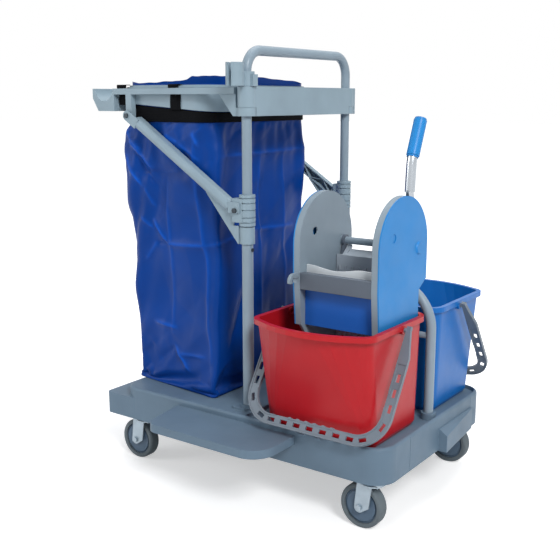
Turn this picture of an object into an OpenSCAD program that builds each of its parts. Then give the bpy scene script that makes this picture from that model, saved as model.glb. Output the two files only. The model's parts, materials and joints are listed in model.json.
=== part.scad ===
// Janitor cart: a two-bucket cleaning trolley with a press wringer and a bag holder.
// X runs along the cart with the bag on the left, +Y is the far side, +Z is up and the floor is z = 0.
// The near long side carries the mop rest, the red bucket and the wringer.

/* [Casters] */
// Diameter of a caster wheel
wheel_d = 100; // [80:1:120]
// Width of a caster tyre
wheel_w = 28; // [22:1:34]
// Radial thickness of the tyre
tyre_t = 10.5; // [7:0.5:14]
// Trail from the swivel axis to the axle
trail = 22; // [15:1:28]
// Diameter of the axle bolt
axle_d = 8; // [6:0.5:10]
// Thickness of the stamped fork sheet
fork_t = 3; // [2:0.5:4]
// Gap between the tyre and a fork leg
fork_side_gap = 3.5; // [2:0.5:6]
// Gap between the wheel and the fork crown
crown_gap = 3; // [2:0.5:6]
// Radius of the fork crown
crown_r = 27; // [24:1:30]
// Diameter of the kingpin
kingpin_d = 12; // [10:0.5:14]
// Height of the ball race above the crown
race_h = 4.7; // [4:0.1:7]
// Thickness of the caster top plate
plate_t = 3; // [2:0.5:5]
// Length of the caster top plate
plate_l = 62; // [58:1:66]
// Width of the caster top plate
plate_w = 54; // [50:1:56]
// Distance of the swivel axes from the ends of the base
swivel_in_x = 46; // [44:1:60]
// Distance of the swivel axes from the sides of the base
swivel_in_y = 38; // [36:1:50]

/* [Base] */
// Length of the base moulding
base_l = 746; // [736:1:780]
// Width of the base moulding
base_w = 506; // [500:1:530]
// Height of the base moulding
base_h = 81.5; // [70:0.5:95]
// Corner radius of the base
base_r = 50; // [40:1:56]
// Wall of the base moulding
base_wall = 5; // [4:0.5:6]
// Radius of the rounded top edge
base_edge_r = 7; // [3:0.5:9]
// Depth of the bucket tray below the rim
tray_depth = 10; // [6:0.5:14]
// Width of the tray rim
rim_w = 7; // [6:0.5:9]
// Left edge of the bucket tray, from the base centre
tray_x = 12; // [8:1:16]
// Thickness of the ribs under the base
rib_t = 4; // [3:0.5:5]
// Length of the interlock block at the left end
lock_l = 54; // [40:1:65]
// Height of the interlock block
lock_h = 54.5; // [45:0.5:60]
// Reach of the wedge bumper at the right end
bumper_l = 22; // [14:1:28]
// Height of the wedge bumper
bumper_h = 52; // [40:1:60]
// Length of the wedge bumper along the end wall
bumper_w = 176; // [150:1:190]
// Length of the mop rest
rest_l = 322; // [280:1:340]
// Reach of the mop rest in front of the base
rest_d = 131; // [100:1:150]
// Middle of the mop rest, from the base centre
rest_x = -8; // [-20:1:10]
// Edge height of the mop rest
rest_h = 19; // [14:0.5:24]
// Top of the mop rest below the base rim
rest_drop = 14; // [10:1:20]
// Radius of the near corners of the mop rest
rest_r = 55; // [30:1:60]

/* [Posts] */
// Position of the posts along the cart
post_x = -10; // [-14:1:-8]
// Distance between the two posts
post_gap = 409; // [400:1:412]
// Outer diameter of the lower post
low_d = 25.4; // [25:0.1:28]
// Outer diameter of the push hoop tube
tube_d = 22; // [20:0.1:22.2]
// Wall of the steel tubes
tube_wall = 1.4; // [1:0.1:1.5]
// Height of the top of the lower posts
low_top = 621; // [600:1:640]
// Height of the push hoop's centre line
hoop_z = 999.5; // [990:0.5:1030]
// Bend radius of the push hoop
hoop_bend = 47; // [40:1:60]
// Length of the hoop legs inside the lower posts
hoop_tuck = 80; // [60:1:100]
// Depth of the post sockets in the base
socket_depth = 48; // [35:1:55]
// Height of the screws that hold the hoop legs
screw_z = 568; // [560:1:580]
// Height of the divider hoop's centre line
divider_z = 493; // [485:1:498]
// Bend radius of the divider hoop
divider_bend = 100; // [60:1:120]
// Height of the divider bar
divider_bar_z = 379; // [340:1:385]
// Diameter of the divider bar
divider_bar_d = 14; // [10:0.5:16]
// Right leg of the divider hoop, from the base centre
divider_x1 = 346; // [342:0.5:348]
// Left leg of the divider hoop, from the base centre
divider_x0 = 34; // [32:0.5:40]

/* [Bag holder] */
// Height of the top of the side rails
rail_top = 921; // [915:1:930]
// Height of a side rail
rail_h = 14; // [10:0.5:18]
// Width of a side rail
rail_w = 15; // [12:0.5:18]
// Length of the bag frame from the posts to its end handle
frame_l = 388; // [380:1:400]
// Width of the end handle trough
trough_w = 72; // [64:1:80]
// Depth of the end handle trough section
trough_h = 53; // [48:1:60]
// Height of the cross panel
panel_h = 63; // [56:1:70]
// Distance of the panel face from the post axes
panel_off = 18; // [16:0.5:20]
// Depth of the cross panel's flanges
panel_d = 26; // [20:1:32]
// Thickness of the panel and frame walls
shell_t = 4; // [3:0.5:5]
// Height of the frame collars round the posts
frame_collar_h = 18; // [14:1:24]
// Length of the bag ring
ring_l = 276; // [264:1:290]
// Gap from the bag ring to the end handle
ring_end_gap = 10; // [9:0.5:14]
// Corner radius of the bag ring
ring_r = 50; // [30:1:70]
// Wall of the bag ring
ring_t = 4; // [3:0.5:5]
// Height of the bag ring above the rails
ring_up = 7; // [5:0.5:12]
// Depth of the bag ring below the rail top at the posts
ring_deep = 53; // [45:1:56]
// Depth of the bag ring below the rail top at the end handle
ring_shallow = 33; // [24:1:40]
// Depth of a strut's channel section
strut_d = 24; // [20:1:28]
// Width of a strut seen from the side
strut_w = 24; // [20:1:30]
// Wall of a strut
strut_t = 3; // [2:0.5:4]
// Drop of the strut's upper bolt below the rail top
strut_top_drop = 63; // [60:1:70]
// Distance of the strut's upper bolt from the posts
strut_reach = 340; // [334:1:346]
// Height of a post clamp
clamp_h = 69; // [60:1:80]
// Radius of a post clamp
clamp_r = 18; // [16:0.5:20]
// Length of the strut's gusset along the post
gusset_h = 40; // [30:1:50]
// Diameter of the frame bolts
bolt_d = 6; // [5:0.5:8]
// Inner radius of the tool clip jaws
clip_r = 12.5; // [10:0.5:14]
// Wall of the tool clip jaws
clip_t = 7; // [5:0.5:8]
// Height of the tool clip jaws
clip_h = 49; // [40:1:56]
// Distance of the tool clip's axis from the post
clip_off = 40; // [38:1:46]

/* [Bag] */
// Wall of the bag solid
bag_t = 3; // [2:0.5:5]
// Height of the bag's cuff above the rails at the near side
cuff_near = 10; // [8:1:15]
// Height of the bag's cuff above the rails at the far side
cuff_far = 33; // [20:1:40]
// Draw-in of the bag's foot on each side
bag_taper = 9; // [4:1:20]
// Bulge of the bag under the end handle
bag_bulge = 40; // [20:1:44]
// Width of a bag strap
strap_w = 24; // [16:1:30]
// Thickness of a bag strap
strap_t = 1.6; // [1:0.1:2.5]
// Height of the black band round the bag's neck
band_h = 22; // [14:1:26]

/* [Buckets] */
// Distance of the bucket rims from the right end of the base
bucket_end = 21; // [18:1:26]
// Width of a bucket over its rim at the ends
bucket_w = 266; // [256:1:270]
// Bow of the outer long side at the rim
bucket_bow = 34; // [26:1:38]
// Bow of the outer long side at the foot
foot_bow = 7; // [3:1:9]
// Gap between a bucket's foot and the tray wall
foot_gap = 3; // [2:0.5:6]
// Height of a bucket
bucket_h = 250; // [220:1:260]
// Draw-in of the bucket foot on each side
bucket_taper = 6; // [4:1:9]
// Wall of a bucket
bucket_t = 3; // [2:0.5:4]
// Overhang of the bucket rim
lip_w = 8; // [6:0.5:10]
// Height of the bucket rim's skirt
lip_h = 12; // [8:0.5:16]
// Corner radius at the inner side of a bucket rim
bucket_r_in = 40; // [36:1:50]
// Corner radius at the outer side of a bucket rim
bucket_r_out = 32; // [30:1:45]
// Distance of the bucket rims from the divider's mid plane
bucket_mid = 20; // [17:0.5:22]
// Gap between the bucket rim and the post row
bucket_x = 52; // [50:0.5:54]

/* [Bails] */
// Length of a bail from pivot to outer edge
bail_len = 260; // [250:1:266]
// Width of the bail strap
bail_w = 24; // [20:0.5:25]
// Thickness of the bail strap
bail_t = 8; // [5:0.5:10]
// Gap between a bail arm and the bucket rim
bail_gap = 5; // [3:0.5:6]
// Corner radius of the bail's outer edge
bail_r = 74; // [50:1:90]
// Diameter of the bail's pivot studs
stud_d = 10; // [8:0.5:12]
// Pivot distance from the bucket's inner rim
pivot_in = 120; // [100:1:130]
// Pivot depth below the bucket rim
pivot_drop = 12; // [10:0.5:18]
// Distance of the hanging red bail from the bucket's wall
red_stand = 11.5; // [9:0.5:16]
// Distance of the hanging blue bail from the bucket's wall
blue_stand = 20; // [12:0.5:26]
// Least height of a hanging bail above the base's rim
bail_rest = 6; // [4:0.5:8]
// Length of a bail slot
slot_l = 18; // [12:0.5:20]
// Width of a bail slot
slot_w = 9; // [6:0.5:12]
// Pitch of the bail slots
slot_pitch = 33; // [26:0.5:34]

/* [Wringer] */
// Clear width between the wringer's side plates
mouth_l = 174; // [150:1:178]
// Gap from the right cover to the bucket's rim
wringer_gap = 19; // [17:0.5:22]
// Depth of a side plate's flange
flange_d = 14; // [13:0.5:18]
// Thickness of a side plate's web
web_t = 3; // [2.5:0.5:4]
// Thickness of a wringer cover
cover_t = 3; // [2:0.5:4]
// Wall of a side plate's flange
flange_t = 4; // [3:0.5:5]
// Radius of the rounded top of a side plate
dome_r = 107; // [100:1:110]
// Height of the dome's centre above the bucket rim
dome_up = 158; // [150:1:170]
// Distance of the dome's centre from the bucket's inner rim
dome_in = 95; // [93:1:100]
// Height of the foot of the straight sides above the bucket rim
shoulder_up = 76; // [70:1:84]
// Diameter of the cross shaft
shaft_d = 16; // [12:0.5:18]
// Shaft distance from the bucket's inner rim
shaft_in = 28; // [26:1:34]
// Shaft height above the bucket rim
shaft_up = 148; // [140:1:155]
// Diameter of the lever tube
lever_d = 22; // [18:0.5:23]
// Diameter of the lever grip
grip_d = 28; // [27:0.5:32]
// Length of the lever grip
grip_l = 92; // [70:1:110]
// Thickness of the lever's flat tang
tang_t = 7; // [5:0.5:8]
// Height of the front rail
rail_front_h = 35; // [28:1:40]
// Depth of the front rail
rail_front_d = 17; // [14:1:20]
// Height of the front jaw panel
jaw_h = 82; // [70:1:100]
// Thickness of the jaw plates
jaw_t = 5; // [4:0.5:6]
// Height of the wavy lip
wave_h = 46; // [40:1:52]
// Height of the waves on the lip
wave_a = 4; // [2:0.5:6]
// Hinge height of the rear jaw above the bucket floor
hinge_up = 140; // [120:1:150]
// Hinge distance from the bucket's inner rim
hinge_in = 53; // [50:1:56]
// Diameter of the hinge pin and tie rods
rod_d = 8; // [6:0.5:10]
// Height of the rear jaw above its hinge
rear_jaw_h = 226; // [220:1:228]
// Length of a crank arm
crank_l = 60; // [58:1:62]
// Diameter of a crank roller
roller_d = 12; // [10:0.5:13]
// Lever swing from rest to a full press
press_swing = 55; // [40:1:56]
// Turn of the rear jaw for each degree of the lever
press_ratio = 0.3; // [0.29:0.01:0.31]
// Bend radius of the lever
lever_bend_r = 60; // [40:1:90]

/* [Clearances] */
// Gap between pieces that stand or lie on each other
seat = 0.3; // [0.1:0.05:0.5]
// Radial clearance of fixed pieces pushed together
push_fit = 0.1; // [0.05:0.05:0.2]
// Radial clearance of turning pieces
run_fit = 0.05; // [0.02:0.01:0.1]
// Gap between a crank roller and its cam
cam_gap = 0.5; // [0.3:0.1:0.8]

/* [Hidden] */
$fn = 64;
LEFT = -1;
RIGHT = 1;
NEAR = -1;
FAR = 1;
through = 1;
skin = 0.02;

// Heights of the chassis
axle_z = wheel_d / 2;
crown_z = wheel_d + crown_gap;
race_z = crown_z + fork_t + seat;
mount_z = race_z + race_h;
base_z = mount_z + plate_t;
rim_z = base_z + base_h;
tray_z = rim_z - tray_depth;
swivel_x = base_l / 2 - swivel_in_x;
swivel_y = base_w / 2 - swivel_in_y;
leg_in = wheel_w / 2 + fork_side_gap;
leg_out = leg_in + fork_t;
screw_hole_d = 5;
plate_hole_in = 8;
rest_wall = 3;

// Posts, frame and bag
post_y = post_gap / 2;
post_screw_d = 4;
boss_r = low_d / 2 + 6;
boss_h = 12;
rail_in = post_y;
rail_out = rail_in + rail_w;
rail_low = rail_top - rail_h;
panel_top = rail_top + 2;
panel_low = panel_top - panel_h;
collar_split = panel_low + frame_collar_h;
frame_x = post_x - frame_l;
trough_x = frame_x - trough_w;
ring_x0 = frame_x + ring_end_gap;
ring_x1 = ring_x0 + ring_l;
ring_y = rail_in - seat;
bag_x0 = ring_x0 + ring_t + seat;
bag_x1 = ring_x1 - ring_t - seat;
bag_y = ring_y - ring_t - seat;
neck_z = rail_top - ring_deep - band_h - 6;
neck_step = 0.6;
clamp_z = low_top + seat;
strut_out = rail_out + 7.5;
strut_in = strut_out - strut_d;
strut_top = [post_x - strut_reach, rail_top - strut_top_drop];
clamp_ear = 10;
strut_end = [post_x - clamp_r - clamp_ear, clamp_z + clamp_h / 2];

// Buckets, bails and wringer
bucket_z = tray_z + seat;
bucket_top = bucket_z + bucket_h;
bucket_l = base_l / 2 - bucket_end - bucket_x;
bucket_cx = bucket_x + bucket_l / 2;
bucket_lean = bucket_mid + bucket_w - lip_w - bucket_taper + foot_bow + rim_w + foot_gap - base_w / 2;
floor_z = bucket_z + bucket_t;
pivot_y = bucket_mid + pivot_in;
pivot_z = bucket_top - pivot_drop;
bail_in = bucket_l / 2 + bail_gap;
bail_out = bail_in + bail_w;
wall_out = bucket_w - lip_w + bucket_bow - pivot_in;
wall_slope = (bucket_taper + bucket_lean + bucket_bow - foot_bow) / bucket_h;
// A hanging bail keeps off the bucket's wall and above the base's rim
function hang(stand) = max(
    asin((wall_out - wall_slope * pivot_drop + stand) / ((bail_len - bail_w) * norm([1, wall_slope])))
        - atan(wall_slope),
    acos((pivot_z - rim_z - bail_rest) / bail_len)
);
red_hang = hang(red_stand);
blue_hang = hang(blue_stand);
cover_x1 = bucket_x + bucket_l - wringer_gap;
flange_x1 = cover_x1 - cover_t;
web_x1 = flange_x1 - flange_d;
web_x0 = web_x1 - mouth_l;
flange_x0 = web_x0 - flange_d;
dome_y = -(bucket_mid + dome_in);
dome_z = bucket_top + dome_up;
shoulder_z = bucket_top + shoulder_up;
side_near = dome_y - dome_r;
side_far = dome_y + dome_r;
leg_near = side_near + 7;
leg_far = -(bucket_mid + 22);
leg_shin = leg_near + 40;
leg_heel = leg_far - 14;
skirt_z = bucket_top - 16;
foot_z = floor_z + seat;
shaft_y = -(bucket_mid + shaft_in);
shaft_z = bucket_top + shaft_up;
hinge_y = -(bucket_mid + hinge_in);
hinge_z = floor_z + hinge_up;
front_rail_top = shoulder_z + 23;
front_rail_low = front_rail_top - rail_front_h;
front_rail_y = side_near + 1;
lever_x = (web_x1 + web_t + flange_x1) / 2;
pivot = [shaft_y, shaft_z];
lever_foot = pivot + [-34, 122];
lever_knee = pivot + [-29, 188];
knee_turn = 23;
knee_run = 92;
bend_step = 0.4;
bend_lap = 2;
grip_cap = 6;
lever_tip = lever_knee + knee_run * [sin(knee_turn), cos(knee_turn)];
jaw_flange = 4;
roller_y = hinge_y + jaw_t / 2 + roller_d / 2 + 1;
tie_spots = [[leg_shin + 6, foot_z + 60], [leg_heel - 12, foot_z + 40]];
hub_t = 5;
crank_a = asin((shaft_y - roller_y) / crank_l);

// The origin lies under the middle of the whole cart
reach_x0 = trough_x;
reach_x1 = base_l / 2 + bumper_l;
reach_y0 = -base_w / 2 - rest_d;
reach_y1 = max(
    bucket_mid + bucket_w + bucket_bow,
    pivot_y + bail_len * sin(blue_hang) + bail_t / 2 * cos(blue_hang)
);
home = [-(reach_x0 + reach_x1) / 2, -(reach_y0 + reach_y1) / 2, 0];

function arc(c, r, a0, a1, n) = [
    for (i = [0 : n]) let (a = a0 + (a1 - a0) * i / n) c + r * [cos(a), sin(a)]
];

module at_home() {
    translate(home) children();
}

// Extrude a profile drawn in X and Z along Y
module along_y(y0, y1) {
    translate([0, y1, 0]) rotate([90, 0, 0]) linear_extrude(y1 - y0) children();
}

// Extrude a profile drawn in Y and Z along X
module along_x(x0, x1) {
    translate([x0, 0, 0]) rotate([90, 0, 90]) linear_extrude(x1 - x0) children();
}

module rod_x(x0, x1, y, z, d) {
    translate([x0, y, z]) rotate([0, 90, 0]) cylinder(h = x1 - x0, d = d);
}

module rod_y(y0, y1, x, z, d) {
    translate([x, y1, z]) rotate([90, 0, 0]) cylinder(h = y1 - y0, d = d);
}

// Rectangle with round corners, from its low corner to its high corner
module round_rect(lo, hi, r) {
    translate(lo + [r, 0]) square([hi[0] - lo[0] - 2 * r, hi[1] - lo[1]]);
    translate(lo + [0, r]) square([hi[0] - lo[0], hi[1] - lo[1] - 2 * r]);
    for (x = [lo[0] + r, hi[0] - r], y = [lo[1] + r, hi[1] - r]) {
        translate([x, y]) circle(r);
    }
}

module centred_rect(l, w, r) {
    round_rect([-l / 2, -w / 2], [l / 2, w / 2], r);
}

// Straight bar between two points of a profile
module bar2d(p, q, w) {
    d = q - p;
    translate(p) rotate(atan2(d[1], d[0])) translate([0, -w / 2]) square([norm(d), w]);
}

module both_sides() {
    children();
    mirror([0, 1, 0]) children();
}

// Base

// Slab with round corners and a rounded top edge
module rounded_slab(l, w, h, r, edge) {
    linear_extrude(h - edge) centred_rect(l, w, r);
    linear_extrude(h) centred_rect(l - 2 * edge, w - 2 * edge, r - edge);
    for (sx = [-1, 1], sy = [-1, 1]) {
        translate([sx * (l / 2 - r), sy * (w / 2 - r), h - edge]) rotate_extrude() {
            intersection() {
                translate([r - edge, 0]) circle(edge);
                square([r, edge]);
            }
        }
    }
    for (sy = [-1, 1]) {
        rod_x(-l / 2 + r, l / 2 - r, sy * (w / 2 - edge), h - edge, 2 * edge);
    }
    for (sx = [-1, 1]) {
        rod_y(-w / 2 + r, w / 2 - r, sx * (l / 2 - edge), h - edge, 2 * edge);
    }
}

module base_hollow(x0, x1, h) {
    inner_l = base_l - 2 * base_wall;
    inner_w = base_w - 2 * base_wall;
    translate([0, 0, base_z - through]) linear_extrude(h + through) intersection() {
        centred_rect(inner_l, inner_w, base_r - base_wall);
        translate([x0, -inner_w / 2]) square([x1 - x0, inner_w]);
    }
}

module base_under_ribs() {
    rib_up = 12;
    rib_low = base_z + rib_up;
    for (y = [-base_w / 4, 0, base_w / 4]) {
        translate([-base_l / 2 + base_wall / 2, y - rib_t / 2, rib_low]) {
            cube([base_l - base_wall, rib_t, tray_z - base_wall / 2 - rib_low]);
        }
    }
    for (x = [-base_l / 4, base_l / 4]) {
        translate([x - rib_t / 2, -base_w / 2 + base_wall / 2, rib_low]) {
            cube([rib_t, base_w - base_wall, tray_z - base_wall / 2 - rib_low]);
        }
    }
}

module caster_spots() {
    for (sx = [LEFT, RIGHT], sy = [NEAR, FAR]) {
        translate([sx * swivel_x, sy * swivel_y, 0]) children();
    }
}

module plate_holes() {
    for (sx = [-1, 1], sy = [-1, 1]) {
        translate([sx * (plate_l / 2 - plate_hole_in), sy * (plate_w / 2 - plate_hole_in), 0]) children();
    }
}

module interlock_block() {
    x0 = -base_l / 2 - lock_l;
    far = -base_wall;
    r = 2 * base_wall;
    difference() {
        translate([0, 0, base_z]) linear_extrude(lock_h) {
            round_rect([x0, -base_w / 2], [x0 + lock_l + base_r, far], r);
        }
        translate([0, 0, base_z - through]) linear_extrude(lock_h - base_wall + through) {
            round_rect([x0 + base_wall, -base_w / 2 + base_wall], [x0 + lock_l, far - base_wall], r / 2);
        }
    }
}

module wedge_bumper() {
    face = base_l / 2;
    slope = 14;
    step = 2;
    out = face + bumper_l + through;
    top = base_z + bumper_h;
    difference() {
        translate([0, 0, base_z]) linear_extrude(bumper_h) polygon([
            [face - base_wall, 0], [face + bumper_l, 0],
            [face + bumper_l / 4, bumper_w], [face - base_wall, bumper_w]
        ]);
        along_y(-through, bumper_w + through) polygon([
            [face + step, top + through], [out, top + through], [out, top - slope]
        ]);
    }
}

// Mating tongues of the mop rest, which the base's slots follow
module rest_tongues(grow) {
    tongue_l = 32;
    tongue_h = 5;
    tongue_drop = 9;
    y0 = -base_w / 2 - rest_wall;
    for (x = [rest_x - rest_l / 4, rest_x + rest_l / 4]) {
        translate([x - tongue_l / 2 - grow, y0, rim_z - rest_drop - tongue_drop - grow]) {
            cube([tongue_l + 2 * grow, rest_wall + base_wall + 2 * grow, tongue_h + 2 * grow]);
        }
    }
}

module base() {
    groove_y = [-base_w * 0.275, base_w * 0.344];
    groove_w = 1.6;
    groove_d = 1.2;
    pad_r = 12;
    pad_in = 24;
    screw_depth = 20;
    tab = [13, 4, 4];
    tray_rim = base_r - rim_w;
    socket_low = tray_z - socket_depth + boss_h;
    color("slategray") at_home() difference() {
        union() {
            difference() {
                translate([0, 0, base_z]) rounded_slab(base_l, base_w, base_h, base_r, base_edge_r);
                base_hollow(-base_l / 2, tray_x - base_wall, base_h - base_wall);
                base_hollow(tray_x + base_wall, base_l / 2, base_h - tray_depth - base_wall);
                translate([0, 0, tray_z]) linear_extrude(tray_depth + through) intersection() {
                    centred_rect(base_l - 2 * rim_w, base_w - 2 * rim_w, tray_rim);
                    translate([tray_x, -base_w / 2]) square([base_l, base_w]);
                }
            }
            base_under_ribs();
            interlock_block();
            wedge_bumper();
            caster_spots() translate([0, 0, base_z]) linear_extrude(base_h - tray_depth - skin) {
                centred_rect(plate_l, plate_w, pad_r);
            }
            for (x = [bucket_cx - bucket_l / 10, bucket_cx + bucket_l / 30]) {
                translate([x - tab[0] / 2, -base_w / 2 - tab[1], rim_z - base_edge_r - tab[2] / 2]) {
                    cube([tab[0], tab[1] + base_wall / 2, tab[2]]);
                }
            }
            both_sides() translate([post_x, -post_y, socket_low - base_wall]) {
                cylinder(h = rim_z + boss_h - socket_low + base_wall, r = boss_r);
            }
            both_sides() translate([post_x, -post_y, tray_z]) linear_extrude(tray_depth + boss_h / 2) {
                round_rect([-pad_in - pad_r, -pad_in], [pad_r, pad_in], pad_r);
            }
            for (x = [divider_x0, divider_x1]) {
                translate([x, 0, socket_low - base_wall]) {
                    cylinder(h = rim_z + boss_h / 2 - socket_low + base_wall, d = tube_d + boss_h);
                }
            }
        }
        both_sides() translate([post_x, -post_y, socket_low]) {
            cylinder(h = rim_z + base_h, d = low_d + 2 * push_fit);
        }
        for (x = [divider_x0, divider_x1]) {
            translate([x, 0, socket_low]) cylinder(h = rim_z + base_h, d = tube_d + 2 * push_fit);
        }
        caster_spots() plate_holes() translate([0, 0, base_z - through]) {
            cylinder(h = screw_depth + through, d = screw_hole_d + 2 * push_fit);
        }
        for (y = groove_y) {
            translate([base_l / 2 - groove_d, y - groove_w / 2, base_z - through]) {
                cube([2 * groove_d, groove_w, base_h]);
            }
        }
        translate([post_x - groove_w / 2, -base_w / 2 - groove_d, rim_z - base_h / 4]) {
            cube([groove_w, 2 * groove_d, base_h]);
        }
        rest_tongues(push_fit);
    }
}

// Near outline of the mop rest in plan, with its left side slanted
module rest_plan(in) {
    x0 = rest_x - rest_l / 2 + in;
    x1 = rest_x + rest_l / 2 - in;
    near = -base_w / 2 - rest_d + in;
    back = -base_w / 2 - seat - in;
    r = rest_r - in;
    left_r = 30;
    slant = 16;
    polygon(concat(
        [[x0 - slant, back]],
        arc([x0 + left_r, near + left_r], left_r, 180, 270, 8),
        arc([x1 - r, near + r], r, 270, 360, 12),
        [[x1, back]]
    ));
}

module mop_rest() {
    low = rim_z - rest_drop - rest_h;
    plate = 4;
    color("slategray") at_home() {
        difference() {
            translate([0, 0, low]) linear_extrude(rest_h) rest_plan(0);
            translate([0, 0, low - through]) linear_extrude(rest_h - plate + through) rest_plan(rest_wall);
        }
        for (x = [rest_x - rest_l / 4, rest_x, rest_x + rest_l / 4]) {
            translate([x - rest_wall / 2, -base_w / 2 - rest_d + rest_wall / 2, low]) {
                cube([rest_wall, rest_d - rest_wall, rest_h - plate / 2]);
            }
        }
        rest_tongues(0);
    }
}

// Casters

module fork() {
    crown_w = 2 * leg_out;
    eye_r = 11.5;
    back = -trail - eye_r / 2;
    front = crown_r - 4;
    leg_front = -trail + 30;
    heel = -trail + 2 * eye_r;
    difference() {
        union() {
            translate([0, 0, crown_z]) cylinder(h = fork_t, r = crown_r);
            translate([back, -leg_out, crown_z]) cube([front - back, crown_w, fork_t]);
            both_sides() along_y(leg_in, leg_out) {
                polygon([[back, crown_z + fork_t], [leg_front, crown_z + fork_t], [heel, axle_z + 2],
                    [-trail + eye_r / 2, axle_z - eye_r * sin(60)], [-trail - eye_r, axle_z]]);
                translate([-trail, axle_z]) circle(eye_r);
            }
        }
        translate([0, 0, crown_z - through]) cylinder(h = fork_t + 2 * through, d = kingpin_d + 2 * run_fit);
        rod_y(-leg_out - through, leg_out + through, -trail, axle_z, axle_d + 2 * push_fit);
    }
}

module axle() {
    head = 4.5;
    tail = 3;
    rod_y(-leg_out - head, leg_out + head + tail, -trail, axle_z, axle_d);
    for (y = [-leg_out - seat - head, leg_out + seat]) {
        translate([-trail, y + head, axle_z]) rotate([90, 30, 0]) {
            cylinder(h = head, r = 0.94 * axle_d, $fn = 6);
        }
    }
}

module hub() {
    rim = wheel_d / 2 - tyre_t - push_fit;
    bore = axle_d / 2 + run_fit;
    boss = wheel_w / 2 + fork_side_gap - 2 * seat;
    face = wheel_w / 2 - 3;
    band = wheel_w / 2 - 6;
    disc = rim - 5;
    boss_top = bore + 5;
    boss_foot = bore + 7;
    translate([-trail, 0, axle_z]) rotate([90, 0, 0]) rotate_extrude() polygon([
        [bore, -boss], [boss_top, -boss], [boss_foot, -face], [disc, -face], [disc, -band], [rim, -band],
        [rim, band], [disc, band], [disc, face], [boss_foot, face], [boss_top, boss], [bore, boss]
    ]);
}

module tyre() {
    inner = wheel_d / 2 - tyre_t;
    shoulder = 5;
    translate([-trail, 0, axle_z]) rotate([90, 0, 0]) rotate_extrude() {
        translate([inner, -wheel_w / 2]) square([tyre_t - shoulder, wheel_w]);
        translate([inner, -wheel_w / 2 + shoulder]) square([tyre_t, wheel_w - 2 * shoulder]);
        for (s = [-1, 1]) {
            translate([wheel_d / 2 - shoulder, s * (wheel_w / 2 - shoulder)]) circle(shoulder);
        }
    }
}

module at_caster(sx, sy) {
    at_home() translate([sx * swivel_x, sy * swivel_y, 0]) children();
}

module caster_mounts() {
    pin_head = 2;
    pin_low = crown_z - seat - pin_head;
    plate_r = 12;
    color("lightsteelblue") at_home() caster_spots() {
        difference() {
            translate([0, 0, mount_z]) linear_extrude(plate_t) centred_rect(plate_l, plate_w, plate_r);
            plate_holes() translate([0, 0, mount_z - through]) {
                cylinder(h = plate_t + 2 * through, d = screw_hole_d + 2 * push_fit);
            }
        }
        translate([0, 0, race_z]) cylinder(h = race_h + skin, r = crown_r - 7);
        translate([0, 0, pin_low]) cylinder(h = race_z - pin_low + skin, d = kingpin_d);
        translate([0, 0, pin_low]) cylinder(h = pin_head, d = 1.5 * kingpin_d);
    }
}

module caster_screws() {
    head = 3;
    grip = 16;
    color("gray") at_home() caster_spots() plate_holes() {
        translate([0, 0, mount_z - head]) cylinder(h = head, d = 1.8 * screw_hole_d);
        translate([0, 0, mount_z - skin]) cylinder(h = plate_t + grip, d = screw_hole_d);
    }
}

// Posts and hoops

// Inverted U of tube in the plane of X and Z, legs a apart, from z0 up to its centre line
module tube_hoop(a, z0, top, bend, d, wall) {
    module solid_hoop(dd) {
        for (s = [-1, 1]) {
            translate([s * a / 2, 0, z0]) cylinder(h = top - bend - z0, d = dd);
            translate([s * (a / 2 - bend), 0, top - bend]) rotate([90, 0, 0]) rotate([0, 0, s > 0 ? 0 : 90]) {
                rotate_extrude(angle = 90) translate([bend, 0]) circle(d = dd);
            }
        }
        rod_x(-a / 2 + bend, a / 2 - bend, 0, top, dd);
    }
    difference() {
        solid_hoop(d);
        solid_hoop(d - 2 * wall);
        for (s = [-1, 1]) {
            translate([s * a / 2, 0, z0 - through]) cylinder(h = 2 * through, d = d - 2 * wall);
        }
    }
}

module post_screw_holes(d) {
    both_sides() rod_x(post_x, post_x + low_d, -post_y, screw_z, d);
}

module lower_post() {
    foot = tray_z - socket_depth + boss_h;
    difference() {
        translate([post_x, -post_y, foot + push_fit]) cylinder(h = low_top - foot - push_fit, d = low_d);
        translate([post_x, -post_y, foot]) cylinder(h = low_top, d = tube_d + 2 * push_fit);
        post_screw_holes(post_screw_d + 2 * push_fit);
    }
}

module push_hoop() {
    color("lightsteelblue") at_home() difference() {
        translate([post_x, 0, 0]) rotate([0, 0, 90]) {
            tube_hoop(post_gap, low_top - hoop_tuck, hoop_z, hoop_bend, tube_d, tube_wall);
        }
        post_screw_holes(post_screw_d + 2 * push_fit);
    }
}

module post_screws() {
    face = post_x + low_d / 2;
    head = 3;
    color("dimgray") at_home() both_sides() {
        rod_x(face - 2 * head, face + head, -post_y, screw_z, post_screw_d);
        rod_x(face + seat, face + head, -post_y, screw_z, 2 * post_screw_d);
    }
}

module divider_hoop() {
    mid = (divider_x0 + divider_x1) / 2;
    foot = tray_z - socket_depth + boss_h + push_fit;
    color("lightsteelblue") at_home() difference() {
        translate([mid, 0, 0]) {
            tube_hoop(divider_x1 - divider_x0, foot, divider_z, divider_bend, tube_d, tube_wall);
        }
        rod_x(divider_x0 - skin, divider_x1 + skin, 0, divider_bar_z, divider_bar_d + 2 * push_fit);
    }
}

module divider_bar() {
    end = tube_d / 2 - tube_wall - divider_bar_d / 2;
    color("lightsteelblue") at_home() {
        rod_x(divider_x0 - end, divider_x1 + end, 0, divider_bar_z, divider_bar_d);
    }
}

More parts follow.
